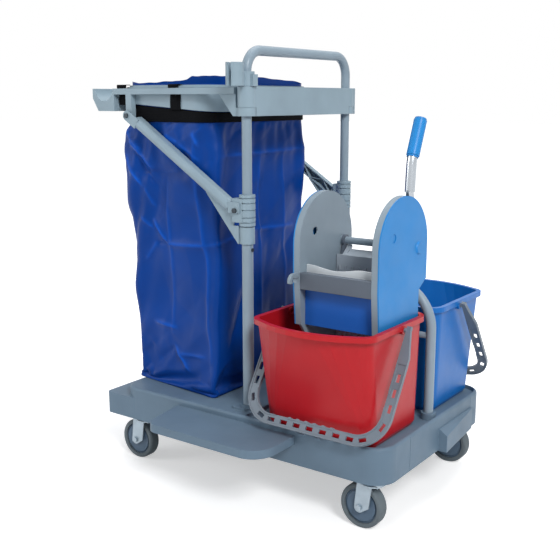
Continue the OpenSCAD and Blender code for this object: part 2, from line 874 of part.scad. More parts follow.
module cross_panel() {
    face = post_x + panel_off;
    collar_r = panel_off + 1.5;
    panel_rib = 3;
    color("lightslategray") at_home() difference() {
        union() {
            translate([face - shell_t, -post_y, panel_low]) cube([shell_t, post_gap + clamp_r, panel_h]);
            for (z = [panel_low, panel_top - shell_t]) {
                translate([face - panel_d, -post_y, z]) cube([panel_d - skin, post_gap, shell_t]);
            }
            for (i = [-2 : 2]) {
                translate([face - panel_d, i * post_gap / 6 - panel_rib / 2, panel_low + skin]) {
                    cube([panel_d - shell_t / 2, panel_rib, panel_h - 2 * skin]);
                }
            }
            both_sides() translate([post_x, -post_y, collar_split + seat]) {
                cylinder(h = panel_top - collar_split - seat, r = collar_r);
            }
        }
        both_sides() translate([post_x, -post_y, panel_low - through]) {
            cylinder(h = panel_h + 2 * through, d = tube_d + 2 * push_fit);
            cylinder(h = frame_collar_h + through + seat, r = collar_r + 1 + 2 * seat);
        }
    }
}

module tool_clip() {
    low = panel_top + seat;
    axis_y = -post_y - clip_off;
    collar_h = 31;
    neck = 18;
    nub = 16;
    mouth = 10;
    color("lightslategray") at_home() difference() {
        union() {
            translate([post_x, -post_y, low]) cylinder(h = collar_h, r = clamp_r);
            translate([post_x, axis_y, low]) cylinder(h = clip_h, r = clip_r + clip_t);
            translate([post_x - neck / 2, axis_y, low]) cube([neck, clip_off, collar_h]);
            translate([post_x, -post_y - nub / 2, low]) cube([clamp_r + clip_t, nub, 0.8 * collar_h]);
        }
        translate([post_x, -post_y, low - through]) {
            cylinder(h = clip_h + 2 * through, d = tube_d + 2 * push_fit);
        }
        translate([post_x, axis_y, low - through]) cylinder(h = clip_h + 2 * through, r = clip_r);
        translate([post_x - mouth / 2, axis_y - clip_r - 2 * clip_t, low - through]) {
            cube([mouth, clip_r + 2 * clip_t, clip_h + 2 * through]);
        }
    }
}

// Bag holder

module post_clamp() {
    ear_x = post_x - clamp_r - clamp_ear;
    ear_y = -strut_out + strut_t + seat;
    ear_in = 8;
    groove_h = 2;
    side = 3 * clamp_r;
    color("lightslategray") at_home() difference() {
        union() {
            translate([post_x, -post_y, clamp_z]) cylinder(h = clamp_h, r = clamp_r);
            translate([ear_x, ear_y, clamp_z + ear_in]) {
                cube([clamp_r + clamp_ear, ear_in - post_y - ear_y, clamp_h - 2 * ear_in]);
            }
        }
        translate([post_x, -post_y, clamp_z - through]) {
            cylinder(h = clamp_h + 2 * through, d = tube_d + 2 * push_fit);
        }
        for (z = [0.1, 0.26, 0.5, 0.72, 0.88]) {
            translate([post_x, -post_y, clamp_z + z * clamp_h]) difference() {
                cylinder(h = groove_h, r = clamp_r + through);
                cylinder(h = groove_h, r = clamp_r - groove_h);
                translate([-side - ear_in, -side, -through]) cube([side, 2 * side, side]);
            }
        }
        rod_y(-strut_out, -post_y + clamp_ear, post_x - clamp_r, strut_end[1], bolt_d + 2 * push_fit);
    }
}

// Half-round beam section, open towards the bag: across the beam, and in Y
module strut_section() {
    half = strut_w / 2;
    difference() {
        union() {
            translate([0, half - strut_out]) circle(half);
            translate([-half, half - strut_out]) square([strut_w, strut_d - half]);
        }
        translate([0, half - strut_out]) circle(half - strut_t);
        translate([strut_t - half, half - strut_out]) square([strut_w - 2 * strut_t, strut_d]);
    }
}

// Moulded strut of the near side: half-round outside, ribbed towards the bag, with a gusset at the post
module strut() {
    run = strut_end - strut_top;
    dir = run / norm(run);
    up = [-dir[1], dir[0]];
    half = strut_w / 2;
    start = strut_top + 2 * half * dir;
    stop = strut_end - half * dir;
    len = norm(stop - start);
    knee = strut_top + 0.77 * run - half * up;
    collar_t = 4;
    collar_x = post_x - (low_d + collar_t) / 2;
    collar_h = gusset_h - 2;
    foot = [collar_x, low_top - gusset_h];
    bays = 9;
    bay = len / bays * dir;
    inner = half - strut_t / 2;
    web_y = half - strut_out;
    color("lightslategray") at_home() difference() {
        union() {
            translate([start[0], 0, start[1]]) rotate([0, 90 - atan2(dir[1], dir[0]), 0]) {
                linear_extrude(len) strut_section();
            }
            along_y(-strut_out, -strut_out + strut_t) {
                bar2d(strut_top, start + half * dir, strut_w);
                translate(strut_top) circle(half);
                bar2d(stop, [post_x - half / 2, stop[1]], strut_w);
            }
            along_y(web_y - strut_t, web_y) {
                polygon([knee, stop - inner * up, strut_end, [collar_x, strut_end[1] - half], foot]);
            }
            along_y(web_y - strut_t, -strut_in) {
                for (p = [start, stop]) {
                    bar2d(p - inner * up, p + inner * up, strut_t);
                }
                for (i = [0 : bays - 1]) {
                    side = i % 2 == 0 ? inner * up : -inner * up;
                    bar2d(start + i * bay + side, start + (i + 1) * bay - side, strut_t / 2);
                }
                bar2d(knee, foot, strut_t);
            }
            translate([post_x, -post_y, foot[1]]) cylinder(h = collar_h, r = low_d / 2 + collar_t);
            along_y(web_y - skin, -post_y) {
                translate([collar_x - strut_t / 2, foot[1]]) square([strut_t, collar_h]);
            }
        }
        translate([post_x, -post_y, foot[1] - through]) {
            cylinder(h = gusset_h + through, d = low_d + 2 * push_fit);
        }
        for (p = [strut_top, [post_x - clamp_r, strut_end[1]]]) {
            rod_y(-strut_out - through, -strut_out + strut_t + through, p[0], p[1], bolt_d + 2 * push_fit);
        }
        translate([post_x - clamp_r - clamp_ear - seat, -strut_out + strut_t, clamp_z - seat]) {
            cube([clamp_r * 3, strut_d, clamp_h + 2 * seat]);
        }
    }
}

module frame_bolts() {
    head = 4;
    tail = 3;
    color("dimgray") at_home() both_sides() for (p = [strut_top, [post_x - clamp_r, strut_end[1]]]) {
        rod_y(-strut_out - skin, -post_y - tail, p[0], p[1], bolt_d);
        translate([p[0], -strut_out - skin, p[1]]) rotate([90, 0, 0]) {
            cylinder(h = head, r = bolt_d, $fn = 6);
        }
    }
}

module frame_side() {
    lug_out = -strut_out + strut_t + seat;
    lug_r = 9;
    brace = [46, 8];
    end_x = post_x - clamp_r - shell_t;
    brace_x = post_x - tube_d / 2 - 1;
    along_y(-rail_out, -rail_in) {
        translate([frame_x - skin, rail_low]) square([end_x - frame_x + skin, rail_h]);
        translate([strut_top[0] - lug_r, strut_top[1]]) square([2 * lug_r, rail_low - strut_top[1] + skin]);
        translate(strut_top) circle(lug_r);
    }
    along_y(lug_out, -rail_in) {
        translate(strut_top) circle(lug_r);
    }
    along_y(-rail_in - brace[1] - 2, -rail_in - 2) {
        polygon([[end_x - brace[0], rail_low + skin], [end_x, rail_low + skin], [end_x, collar_split],
            [brace_x, collar_split], [brace_x, panel_low], [end_x - brace[1], panel_low]]);
    }
    translate([post_x, -post_y, panel_low]) cylinder(h = frame_collar_h, r = panel_off + 2.5);
}

module bag_frame() {
    lip = 9;
    bevel = [18, 23];
    pocket = [22, 8, 14];
    scoop_r = (trough_w - lip) / 2 - shell_t / 2;
    scoop = [trough_x + lip + scoop_r, rail_top];
    color("lightslategray") at_home() difference() {
        union() {
            both_sides() frame_side();
            along_y(-rail_out, rail_out) difference() {
                polygon([
                    [trough_x, rail_top], [trough_x, rail_top - bevel[1]],
                    [trough_x + bevel[0], rail_top - trough_h],
                    [frame_x, rail_top - trough_h], [frame_x, rail_top]
                ]);
                translate(scoop) circle(scoop_r);
            }
        }
        both_sides() translate([post_x, -post_y, panel_low - through]) {
            cylinder(h = frame_collar_h + 2 * through, d = tube_d + 2 * push_fit);
        }
        both_sides() rod_y(-strut_out, -rail_in + through, strut_top[0], strut_top[1], bolt_d + 2 * push_fit);
        for (s = [NEAR, FAR]) {
            y = (s - 1) * rail_out / 2 + pocket[1];
            translate([trough_x + pocket[0], y, rail_top - trough_h - through]) {
                cube([trough_w - pocket[0] - pocket[1], rail_out - 2 * pocket[1], pocket[2]]);
            }
        }
    }
}

module ring_plan(grow) {
    round_rect([ring_x0 - grow, -ring_y - grow], [ring_x1 + grow, ring_y + grow], ring_r + grow);
}

function ring_low(x) = rail_top - ring_deep + (ring_deep - ring_shallow) * (ring_x1 - x) / ring_l;

module bag_ring() {
    lip = 7;
    lip_t = 3;
    color("lightslategray") at_home() difference() {
        union() {
            translate([0, 0, rail_top - ring_deep]) linear_extrude(ring_deep + ring_up) ring_plan(0);
            translate([0, 0, rail_top + seat]) linear_extrude(lip_t) ring_plan(lip);
        }
        translate([0, 0, rail_top - ring_deep - through]) linear_extrude(ring_deep + ring_up + 2 * through) {
            ring_plan(-ring_t);
        }
        along_y(-2 * ring_y, 2 * ring_y) polygon([
            [ring_x0 - lip, ring_low(ring_x0 - lip)], [ring_x1, ring_low(ring_x1)],
            [ring_x1, rail_top - ring_deep - through], [ring_x0 - lip, rail_top - ring_deep - through]
        ]);
    }
}

module bag_plan(in, bulge = 0) {
    round_rect([bag_x0 + in - bulge, -bag_y + in], [bag_x1 - in, bag_y - in], ring_r - ring_t - in);
}

// One strap over the rail and under the ring on the near side
module strap(x) {
    top = rail_top + ring_up + seat;
    low = ring_low(x + strap_w / 2) - 2 * strap_t;
    out = rail_out + seat;
    translate([x, 0, 0]) along_x(-strap_w / 2, strap_w / 2) {
        translate([-out - strap_t, low]) square([strap_t, top - low + strap_t]);
        translate([-out - strap_t, top]) square([out + strap_t - ring_y + ring_t / 2, strap_t]);
        translate([-out - strap_t, low]) square([out + strap_t - ring_y + ring_t / 2, strap_t]);
    }
}

module bag_straps() {
    gap = 2;
    band_z = rail_top - ring_deep - gap - band_h;
    x0 = ring_x0 - ring_r;
    x1 = ring_x1 + ring_r;
    color("black") at_home() {
        both_sides() for (x = [ring_x0 + strap_w / 3, ring_x0 + 0.63 * ring_l]) {
            strap(x);
        }
        difference() {
            translate([0, 0, band_z]) linear_extrude(rail_top - band_z) difference() {
                bag_plan(-seat - strap_t);
                bag_plan(-seat);
            }
            along_y(-2 * ring_y, 2 * ring_y) polygon([
                [x0, ring_low(x0) - gap], [x1, ring_low(x1) - gap], [x1, 2 * rail_top], [x0, 2 * rail_top]
            ]);
        }
    }
}

// Filled body of the bag below its neck, drawn in from the outside
module bag_body(in) {
    low = rim_z + seat + in;
    foot = bag_taper + in;
    round_up = 18;
    sole_in = 10;
    hull() {
        translate([0, 0, low]) linear_extrude(skin) bag_plan(foot + sole_in, $fn = 32);
        translate([0, 0, low + round_up]) linear_extrude(skin) bag_plan(foot, $fn = 32);
        translate([0, 0, neck_z - in - 2 * bag_bulge]) linear_extrude(skin) {
            bag_plan(in + sole_in, bag_bulge + sole_in, $fn = 32);
        }
        translate([0, 0, neck_z - in]) linear_extrude(skin) bag_plan(in, $fn = 32);
    }
}

// Straight neck of the bag, a little narrower than its body
module bag_neck(in, low) {
    translate([0, 0, low]) linear_extrude(rail_top + cuff_far - low + through) bag_plan(in + neck_step);
}

module bag() {
    top = rail_top + cuff_far + 2 * through;
    color("royalblue") at_home() difference() {
        union() {
            bag_body(0);
            bag_neck(0, neck_z - 2);
        }
        bag_body(bag_t);
        bag_neck(bag_t, neck_z - 3 * bag_t);
        along_x(bag_x0 - through, bag_x1 + through) polygon([
            [-bag_y - through, rail_top + cuff_near], [0, rail_top + cuff_near],
            [bag_y + through, rail_top + cuff_far], [bag_y + through, top], [-bag_y - through, top]
        ]);
    }
}

// Buckets and bails

// Bucket outline about the middle of its inner rim: draw-in all round, more at the near side, and bow
function bucket_plan(level) = let (
    in = level[0],
    near = level[1],
    bow = level[2],
    l = bucket_l / 2 - lip_w - in,
    y0 = -lip_w - in,
    y1 = -bucket_w + lip_w + in + near,
    ri = bucket_r_in - lip_w - in,
    ro = bucket_r_out - lip_w - in
) concat(
    arc([l - ri, y0 - ri], ri, 0, 90, 8),
    arc([-l + ri, y0 - ri], ri, 90, 180, 8),
    arc([-l + ro, y1 + ro], ro, 180, 243, 8),
    [for (i = [-4 : 4]) [i / 4 * (l - ro), y1 - bow * (1 - 0.9 * pow(i / 4, 2))]],
    arc([l - ro, y1 + ro], ro, 297, 360, 8)
);

function bucket_rim(in) = [in, 0, bucket_bow];
function bucket_low(in) = [bucket_taper + in, bucket_lean, foot_bow];

module bucket_slab(z, level) {
    translate([0, 0, z]) linear_extrude(skin) polygon(bucket_plan(level));
}

module bucket_ring(z, h, out, in) {
    translate([0, 0, z]) linear_extrude(h) difference() {
        polygon(bucket_plan(bucket_rim(out)));
        polygon(bucket_plan(bucket_rim(in)));
    }
}

// Bucket of the near side, drawn about the middle of its inner rim
module bucket_shape() {
    top = bucket_h;
    wall_l = bucket_l / 2 - lip_w;
    ear_y = -pivot_in;
    ear_z = top - pivot_drop;
    foot_in = 6;
    foot_up = 10;
    skirt_t = 2.5;
    ear_in = 6;
    difference() {
        union() {
            difference() {
                hull() {
                    bucket_slab(0, bucket_low(foot_in));
                    bucket_slab(foot_up, bucket_low(0));
                    bucket_slab(top - skin, bucket_rim(0));
                }
                hull() {
                    bucket_slab(bucket_t, bucket_low(foot_in + bucket_t));
                    bucket_slab(foot_up + bucket_t, bucket_low(bucket_t));
                    bucket_slab(top + through, bucket_rim(bucket_t));
                }
            }
            bucket_ring(top - bucket_t, bucket_t, -lip_w, bucket_t);
            bucket_ring(top - lip_h, lip_h, -lip_w, -lip_w + skirt_t);
            for (s = [-1, 1]) {
                x = s * (wall_l + bucket_l / 2 - ear_in) / 2;
                w = bucket_l / 2 - wall_l + ear_in;
                rod_x(x - w / 2, x + w / 2, ear_y, ear_z, 2 * stud_d);
            }
        }
        rod_x(-bucket_l, bucket_l, ear_y, ear_z, stud_d + 2 * run_fit);
    }
}

module at_bucket() {
    translate([bucket_cx, -bucket_mid, bucket_z]) children();
}

// Bail outline in its own plane: across the bucket, and down from the pivots
module bail_outline() {
    straight = bail_len - bail_r;
    neck = 60;
    neck_w = 10;
    neck_up = 9;
    inner_r = bail_r - bail_w;
    ripple_r = 8;
    difference() {
        union() {
            polygon([[-bail_in, 0], [-bail_in - neck_w, 0], [-bail_out, -neck], [-bail_out, -straight],
                [bail_out, -straight], [bail_out, -neck], [bail_in + neck_w, 0], [bail_in, 0]]);
            translate([-bail_out + bail_r, -bail_len]) square([2 * (bail_out - bail_r), bail_r + skin]);
            for (s = [-1, 1]) {
                translate([s * (bail_out - bail_r), -straight]) circle(bail_r);
                translate([s * (bail_in + neck_w / 2) - neck_w / 2, -skin]) square([neck_w, neck_up]);
            }
        }
        translate([-bail_in, -straight]) square([2 * bail_in, bail_len]);
        translate([-bail_in + inner_r, -bail_len + bail_w]) square([2 * (bail_in - inner_r), bail_len]);
        for (s = [-1, 1]) {
            translate([s * (bail_in - inner_r), -straight]) circle(inner_r);
        }
    }
    for (i = [-5 : 2 : 5]) {
        translate([i * slot_l * 0.6, -bail_len + bail_w - 0.7 * ripple_r]) circle(ripple_r);
    }
}

module bail_slot() {
    translate([-slot_l / 2, -slot_w / 2]) square([slot_l, slot_w]);
}

module bail_slots() {
    straight = bail_len - bail_r;
    mid_r = bail_r - bail_w / 2;
    for (i = [-3 : 3]) {
        translate([i * slot_pitch, -bail_len + bail_w / 2]) bail_slot();
    }
    for (s = [-1, 1]) {
        for (a = [22, 68]) {
            translate([s * (bail_out - bail_r + mid_r * cos(a)), -straight - mid_r * sin(a)]) {
                rotate(s * (90 - a)) bail_slot();
            }
        }
        for (k = [0 : 2]) {
            translate([s * (bail_in + bail_w / 2), -straight + (k + 0.5) * slot_pitch]) {
                rotate(90) bail_slot();
            }
        }
    }
}

// Bail with its pivots on the X axis, hanging straight down
module bail_shape() {
    edge = 3;
    grip = 4;
    rotate([90, 0, 0]) {
        translate([0, 0, -bail_t / 2 + edge / 2]) linear_extrude(bail_t - edge) difference() {
            bail_outline();
            bail_slots();
        }
        translate([0, 0, -bail_t / 2]) linear_extrude(bail_t) difference() {
            bail_outline();
            intersection() {
                bail_outline();
                translate([-bail_out + edge, -bail_len + edge]) square([2 * (bail_out - edge), bail_len]);
                bail_web(edge);
            }
        }
    }
    for (s = [-1, 1]) {
        x = s * (bail_in - (lip_w + grip) / 2);
        w = lip_w + grip + 2 * skin;
        rod_x(x - w / 2, x + w / 2, 0, 0, stud_d);
    }
}

// The sunk web between a bail's raised edges
module bail_web(edge) {
    straight = bail_len - bail_r;
    difference() {
        union() {
            for (s = [-1, 1]) {
                translate([s * (bail_in + bail_w / 2) - bail_w / 2 + edge, -straight]) {
                    square([bail_w - 2 * edge, straight - bail_r]);
                }
                translate([s * (bail_out - bail_r), -straight]) circle(bail_r - edge);
            }
            translate([-bail_out + bail_r, -bail_len + edge]) {
                square([2 * (bail_out - bail_r), bail_w - 2 * edge]);
            }
        }
        for (s = [-1, 1]) {
            translate([s * (bail_out - bail_r), -straight]) circle(bail_r - bail_w + edge);
        }
    }
}

module red_bucket() {
    color("crimson") at_home() at_bucket() bucket_shape();
}

module red_bail() {
    color("lightslategray") at_home() {
        translate([bucket_cx, -pivot_y, pivot_z]) rotate([-red_hang, 0, 0]) bail_shape();
    }
}

module blue_bucket() {
    color("steelblue") at_home() mirror([0, 1, 0]) at_bucket() bucket_shape();
}

module blue_bail() {
    color("slategray") at_home() {
        translate([bucket_cx, pivot_y, pivot_z]) rotate([blue_hang, 0, 0]) bail_shape();
    }
}

// Wringer

// Outline of a side plate in Y and Z above the skirt, drawn in from the edge
module plate_plan(in) {
    translate([dome_y, dome_z]) circle(dome_r - in, $fn = 128);
    notch = 20;
    polygon([
        [side_near + in, dome_z], [side_near + in, shoulder_z], [leg_near + in, skirt_z + in],
        [leg_far - in, skirt_z + in], [leg_far - in, shoulder_z - notch + in],
        [side_far - in, shoulder_z + in], [side_far - in, dome_z]
    ]);
}

module plate_leg() {
    knee = [34, 44];
    frame = 14;
    window = [leg_heel - leg_shin - 3 * frame, skirt_z - knee[1] - foot_z - 3 * frame];
    difference() {
        polygon([
            [leg_near, skirt_z + skin], [leg_near + knee[0], skirt_z - knee[1]], [leg_shin, foot_z],
            [leg_heel, foot_z], [leg_far, skirt_z + skin]
        ]);
        translate([leg_shin + frame, foot_z + 2 * frame]) square(window);
    }
}

module sight_hole() {
    translate([dome_y - 47, dome_z + 24]) circle(9);
}

// Side plate of the right side: web inside, flange outwards
module side_plate() {
    difference() {
        union() {
            along_x(web_x1, web_x1 + web_t) plate_plan(0);
            along_x(web_x1, flange_x1) difference() {
                plate_plan(0);
                plate_plan(flange_t);
            }
            along_x(web_x1, web_x1 + 2 * web_t) plate_leg();
            rod_x(web_x1, lever_x - tang_t / 2 - 2 * seat, shaft_y, shaft_z, shaft_d + 2 * hub_t);
        }
        along_x(web_x1 - through, web_x1 + web_t + through) sight_hole();
        rod_x(web_x1 - through, flange_x1 + through, shaft_y, shaft_z, shaft_d + 2 * run_fit);
        rod_x(web_x1 - through, web_x1 + 3 * web_t, hinge_y, hinge_z, rod_d + 2 * push_fit);
        for (p = tie_spots) {
            rod_x(web_x1 - through, web_x1 + 3 * web_t, p[0], p[1], rod_d + 2 * push_fit);
        }
    }
}

module mirror_mouth() {
    translate([web_x0 + web_x1, 0, 0]) mirror([1, 0, 0]) children();
}

// Window in the right flange through which the lever swings
module lever_window() {
    near = -62;
    far = 120;
    high = 140;
    low = 20;
    translate([0, shaft_y, shaft_z]) along_x(web_x1 + web_t, flange_x1 + through) polygon([
        [0, 0], [near, high], [far, high], [far, low]
    ]);
}

module hang_hook() {
    hook_w = 8;
    hook_r = 15;
    hook_in = 7;
    arm_h = 10;
    arm_z = front_rail_top - arm_h / 2;
    x0 = flange_x0 + (flange_d - hook_w) / 2;
    along_x(x0, x0 + hook_w) {
        translate([side_near - hook_r, arm_z - arm_h / 2]) square([hook_r + flange_t / 2, arm_h]);
        intersection() {
            translate([side_near - hook_r, arm_z - arm_h]) difference() {
                circle(hook_r);
                circle(hook_in);
            }
            translate([side_near - 2 * hook_r, arm_z - hook_r]) square([1.6 * hook_r, 2 * hook_r]);
        }
    }
}

module wringer_left_plate() {
    color("darkgray") at_home() {
        mirror_mouth() side_plate();
        hang_hook();
    }
}

module wringer_right_plate() {
    color("darkgray") at_home() difference() {
        side_plate();
        difference() {
            lever_window();
            rod_x(web_x1, flange_x1 + through, shaft_y, shaft_z, shaft_d + 2 * hub_t + 2);
        }
    }
}

module cover_shape() {
    cap = [4, 15, 12];
    difference() {
        along_x(flange_x1 + push_fit, cover_x1) plate_plan(0);
        along_x(cover_x1 - cover_t / 2, cover_x1 + through) sight_hole();
    }
    translate([cover_x1 - skin, shaft_y, shaft_z]) rotate([0, 90, 0]) {
        cylinder(h = cap[0], r1 = cap[1], r2 = cap[2]);
    }
}

module wringer_left_cover() {
    color("dodgerblue") at_home() mirror_mouth() cover_shape();
}

module wringer_right_cover() {
    color("dodgerblue") at_home() cover_shape();
}

module wringer_front_rail() {
    color("gray") at_home() along_x(web_x0 + push_fit, web_x1 - push_fit) difference() {
        translate([front_rail_y, front_rail_low]) square([rail_front_d, rail_front_h]);
        translate([front_rail_y + web_t, front_rail_low + web_t]) {
            square([rail_front_d, rail_front_h - 2 * web_t]);
        }
    }
}

module wringer_front_jaw() {
    y = front_rail_y + rail_front_d;
    l = mouth_l - 2 * push_fit;
    lap = 20;
    flange_h = 12;
    color("royalblue") at_home() translate([web_x0 + push_fit, y, front_rail_low]) {
        translate([0, jaw_flange, -jaw_h]) cube([l, jaw_t, jaw_h + lap]);
        translate([0, push_fit, lap - flange_h]) cube([l, jaw_flange, flange_h]);
    }
}

// Light lip with a wavy top edge over the front jaw
module wringer_lip() {
    y = front_rail_y + rail_front_d + jaw_t + jaw_flange + push_fit;
    x0 = web_x0 + push_fit;
    x1 = web_x1 - push_fit;
    low = front_rail_low;
    top = low + wave_h;
    steps = 36;
    color("lightgray") at_home() {
        along_y(y, y + jaw_flange) polygon(concat(
            [[x1, low], [x0, low]],
            [for (i = [0 : steps]) [x0 + (x1 - x0) * i / steps, top + wave_a * cos(450 * i / steps)]]
        ));
    }
}

module wringer_tie_rods() {
    color("silver") at_home() for (p = tie_spots) {
        rod_x(web_x0 - 2 * web_t, web_x1 + 2 * web_t, p[0], p[1], rod_d);
    }
}

module jaw_hinge_pin() {
    color("silver") at_home() rod_x(web_x0 - 2 * web_t, web_x1 + 2 * web_t, hinge_y, hinge_z, rod_d);
}

module wringer_shaft() {
    collar_t = 3;
    end_gap = 1;
    color("gray") at_home() {
        rod_x(flange_x0 + end_gap, flange_x1 - end_gap, shaft_y, shaft_z, shaft_d);
        for (x = [web_x0 + seat, web_x1 - seat - collar_t]) {
            rod_x(x, x + collar_t, shaft_y, shaft_z, 1.5 * shaft_d);
        }
    }
}

// Centre of the crank roller after a lever swing, in the wringer and then in the rear jaw
function roller_at(t) = pivot - crank_l * [sin(crank_a + t), cos(crank_a + t)];
function roller_in_jaw(t) = let (d = roller_at(t) - [hinge_y, hinge_z], f = press_ratio * t)
    [d[0] * cos(f) + d[1] * sin(f), d[1] * cos(f) - d[0] * sin(f)];
// Cam face of the rear jaw that stays just ahead of the roller
function cam_point(t) = let (e = roller_in_jaw(t + 1) - roller_in_jaw(t - 1))
    roller_in_jaw(t) + (roller_d / 2 + cam_gap) * [-e[1], e[0]] / norm(e);

module crank() {
    arm_t = 6;
    arm_x = web_x0 + 4;
    roller_l = 14;
    tip = roller_at(0);
    difference() {
        union() {
            along_x(arm_x, arm_x + arm_t) {
                translate(pivot) circle(shaft_d / 2 + hub_t);
                translate(tip) circle(roller_d / 2);
                bar2d(pivot, tip, roller_d);
            }
            rod_x(arm_x + arm_t - skin, arm_x + arm_t + roller_l, tip[0], tip[1], roller_d);
        }
        rod_x(arm_x - through, arm_x + arm_t + through, shaft_y, shaft_z, shaft_d + 2 * push_fit);
    }
}

module wringer_cranks() {
    color("dimgray") at_home() {
        crank();
        mirror_mouth() crank();
    }
}

// Round bar between two points in Y and Z at the lever's plane
module lever_run(p, q, d) {
    run = q - p;
    translate([lever_x, p[0], p[1]]) rotate([-atan2(run[0], run[1]), 0, 0]) cylinder(h = norm(run), d = d);
}

// Bend of the lever between its lower run and its grip
module lever_bend(c, turn0) {
    translate([lever_x, c[0], c[1]]) rotate([90, 0, 90]) rotate([0, 0, 180 - knee_turn]) {
        rotate_extrude(angle = knee_turn - turn0) {
            translate([lever_bend_r, 0]) circle(d = lever_d - bend_step);
        }
    }
}

module wringer_lever() {
    run = lever_knee - lever_foot;
    turn0 = atan2(run[0], run[1]);
    low = run / norm(run);
    dir = [sin(knee_turn), cos(knee_turn)];
    cut = lever_bend_r * tan((knee_turn - turn0) / 2);
    bend_start = lever_knee - cut * low;
    out = (lever_foot - pivot) / norm(lever_foot - pivot);
    color("silver") at_home() difference() {
        union() {
            along_x(lever_x - tang_t / 2, lever_x + tang_t / 2) {
                translate(pivot) circle(shaft_d / 2 + tang_t);
                bar2d(pivot, lever_foot + tang_t * out, lever_d);
            }
            lever_run(lever_foot, bend_start + bend_lap * low, lever_d);
            lever_bend(bend_start + lever_bend_r * [low[1], -low[0]], turn0);
            lever_run(lever_knee + (cut - bend_lap) * dir, lever_tip - grip_cap * dir, lever_d);
        }
        rod_x(lever_x - tang_t, lever_x + tang_t, shaft_y, shaft_z, shaft_d + 2 * push_fit);
    }
}

module wringer_grip() {
    dir = [sin(knee_turn), cos(knee_turn)];
    start = lever_tip - (grip_l - grip_cap) * dir;
    ring = 4;
    step = 3;
    lap = 0.1;
    color("dodgerblue") at_home() difference() {
        union() {
            lever_run(start, start + ring * dir, grip_d - step);
            lever_run(start + (ring - lap) * dir, lever_tip - ring * dir, grip_d);
            lever_run(lever_tip - (ring + lap) * dir, lever_tip, grip_d - step);
        }
        lever_run(start - dir, lever_tip - (grip_cap - 1) * dir, lever_d + 2 * push_fit);
    }
}

// Cam ear behind the rear jaw, shaped so that the roller pushes it through the whole swing
module jaw_cam() {
    ear_x = web_x0 + 12;
    ear_t = 10;
    ear_h = 38;
    steps = 11;
    nose = [-2, 6];
    back = jaw_t / 2 - skin;
    high = rear_jaw_h - 2;
    translate([0, hinge_y, hinge_z]) along_x(ear_x, ear_x + ear_t) polygon(concat(
        [for (i = [0 : steps]) cam_point(press_swing * i / steps)],
        [cam_point(press_swing) + nose, [back, high], [back, high - ear_h]]
    ));
}

module wringer_rear_jaw() {
    side_gap = 1.5;
    y = hinge_y - jaw_t / 2;
    x0 = web_x0 + side_gap;
    l = mouth_l - 2 * side_gap;
    top = hinge_z + rear_jaw_h;
    knuckle = 4;
    ribs = 10;
    rib = 3;
    rib_up = 16;
    hole_d = 7;
    row = rear_jaw_h / 9;
    flange_in = 24;
    flange = [22, 8];
    color("lightgray") at_home() difference() {
        union() {
            translate([x0, y, hinge_z + skin]) cube([l, jaw_t, rear_jaw_h]);
            rod_x(x0, x0 + l, hinge_y, hinge_z, rod_d + 2 * knuckle);
            for (i = [0.5 : ribs]) {
                translate([x0 + i * l / ribs - rib / 2, y - rib, hinge_z + rib_up]) {
                    cube([rib, rib + skin, rear_jaw_h - 2.5 * rib_up]);
                }
            }
            jaw_cam();
            mirror_mouth() jaw_cam();
            along_x(x0 + flange_in, x0 + l - flange_in) polygon([
                [y, top], [y + jaw_t, top - flange[1]], [y + jaw_t + flange[0], top + flange[1]],
                [y + jaw_t + flange[0] - rib, top + flange[1] + rib]
            ]);
        }
        rod_x(x0 - through, x0 + l + through, hinge_y, hinge_z, rod_d + 2 * run_fit);
        for (i = [1 : 2 : ribs - 1], k = [1.5 : 6.5]) {
            translate([x0 + i * l / ribs, y - jaw_t, hinge_z + k * row]) rotate([-90, 0, 0]) {
                cylinder(h = 3 * jaw_t, d = hole_d, $fn = 16);
            }
        }
    }
}

base();
mop_rest();
color("silver") at_home() lower_post();  // front_lower_post
color("silver") at_home() mirror([0, 1, 0]) lower_post();  // rear_lower_post
push_hoop();
post_screws();
cross_panel();
tool_clip();
post_clamp();  // front_clamp
translate(2 * [0, home[1], 0]) mirror([0, 1, 0]) post_clamp();  // rear_clamp
strut();  // front_strut
translate(2 * [0, home[1], 0]) mirror([0, 1, 0]) strut();  // rear_strut
frame_bolts();
bag_frame();
bag_ring();
bag_straps();
bag();
divider_hoop();
divider_bar();
caster_mounts();
caster_screws();
color("lightgray") at_caster(LEFT, NEAR) fork();  // front_left_fork
color("gray") at_caster(LEFT, NEAR) axle();  // front_left_axle
color("slategray") at_caster(LEFT, NEAR) hub();  // front_left_hub
color("dimgray") at_caster(LEFT, NEAR) tyre();  // front_left_tyre
color("lightgray") at_caster(RIGHT, NEAR) fork();  // front_right_fork
color("gray") at_caster(RIGHT, NEAR) axle();  // front_right_axle
color("slategray") at_caster(RIGHT, NEAR) hub();  // front_right_hub
color("dimgray") at_caster(RIGHT, NEAR) tyre();  // front_right_tyre
color("lightgray") at_caster(LEFT, FAR) fork();  // rear_left_fork
color("gray") at_caster(LEFT, FAR) axle();  // rear_left_axle
color("slategray") at_caster(LEFT, FAR) hub();  // rear_left_hub
color("dimgray") at_caster(LEFT, FAR) tyre();  // rear_left_tyre
color("lightgray") at_caster(RIGHT, FAR) fork();  // rear_right_fork
color("gray") at_caster(RIGHT, FAR) axle();  // rear_right_axle
color("slategray") at_caster(RIGHT, FAR) hub();  // rear_right_hub
color("dimgray") at_caster(RIGHT, FAR) tyre();  // rear_right_tyre
red_bucket();
red_bail();
blue_bucket();
blue_bail();
wringer_left_plate();
wringer_right_plate();
wringer_left_cover();
wringer_right_cover();
wringer_front_rail();
wringer_front_jaw();
wringer_lip();
wringer_tie_rods();
jaw_hinge_pin();
wringer_shaft();
wringer_cranks();
wringer_lever();
wringer_grip();
wringer_rear_jaw();
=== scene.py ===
import json
import math

import bpy
import numpy as np
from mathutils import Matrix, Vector, noise


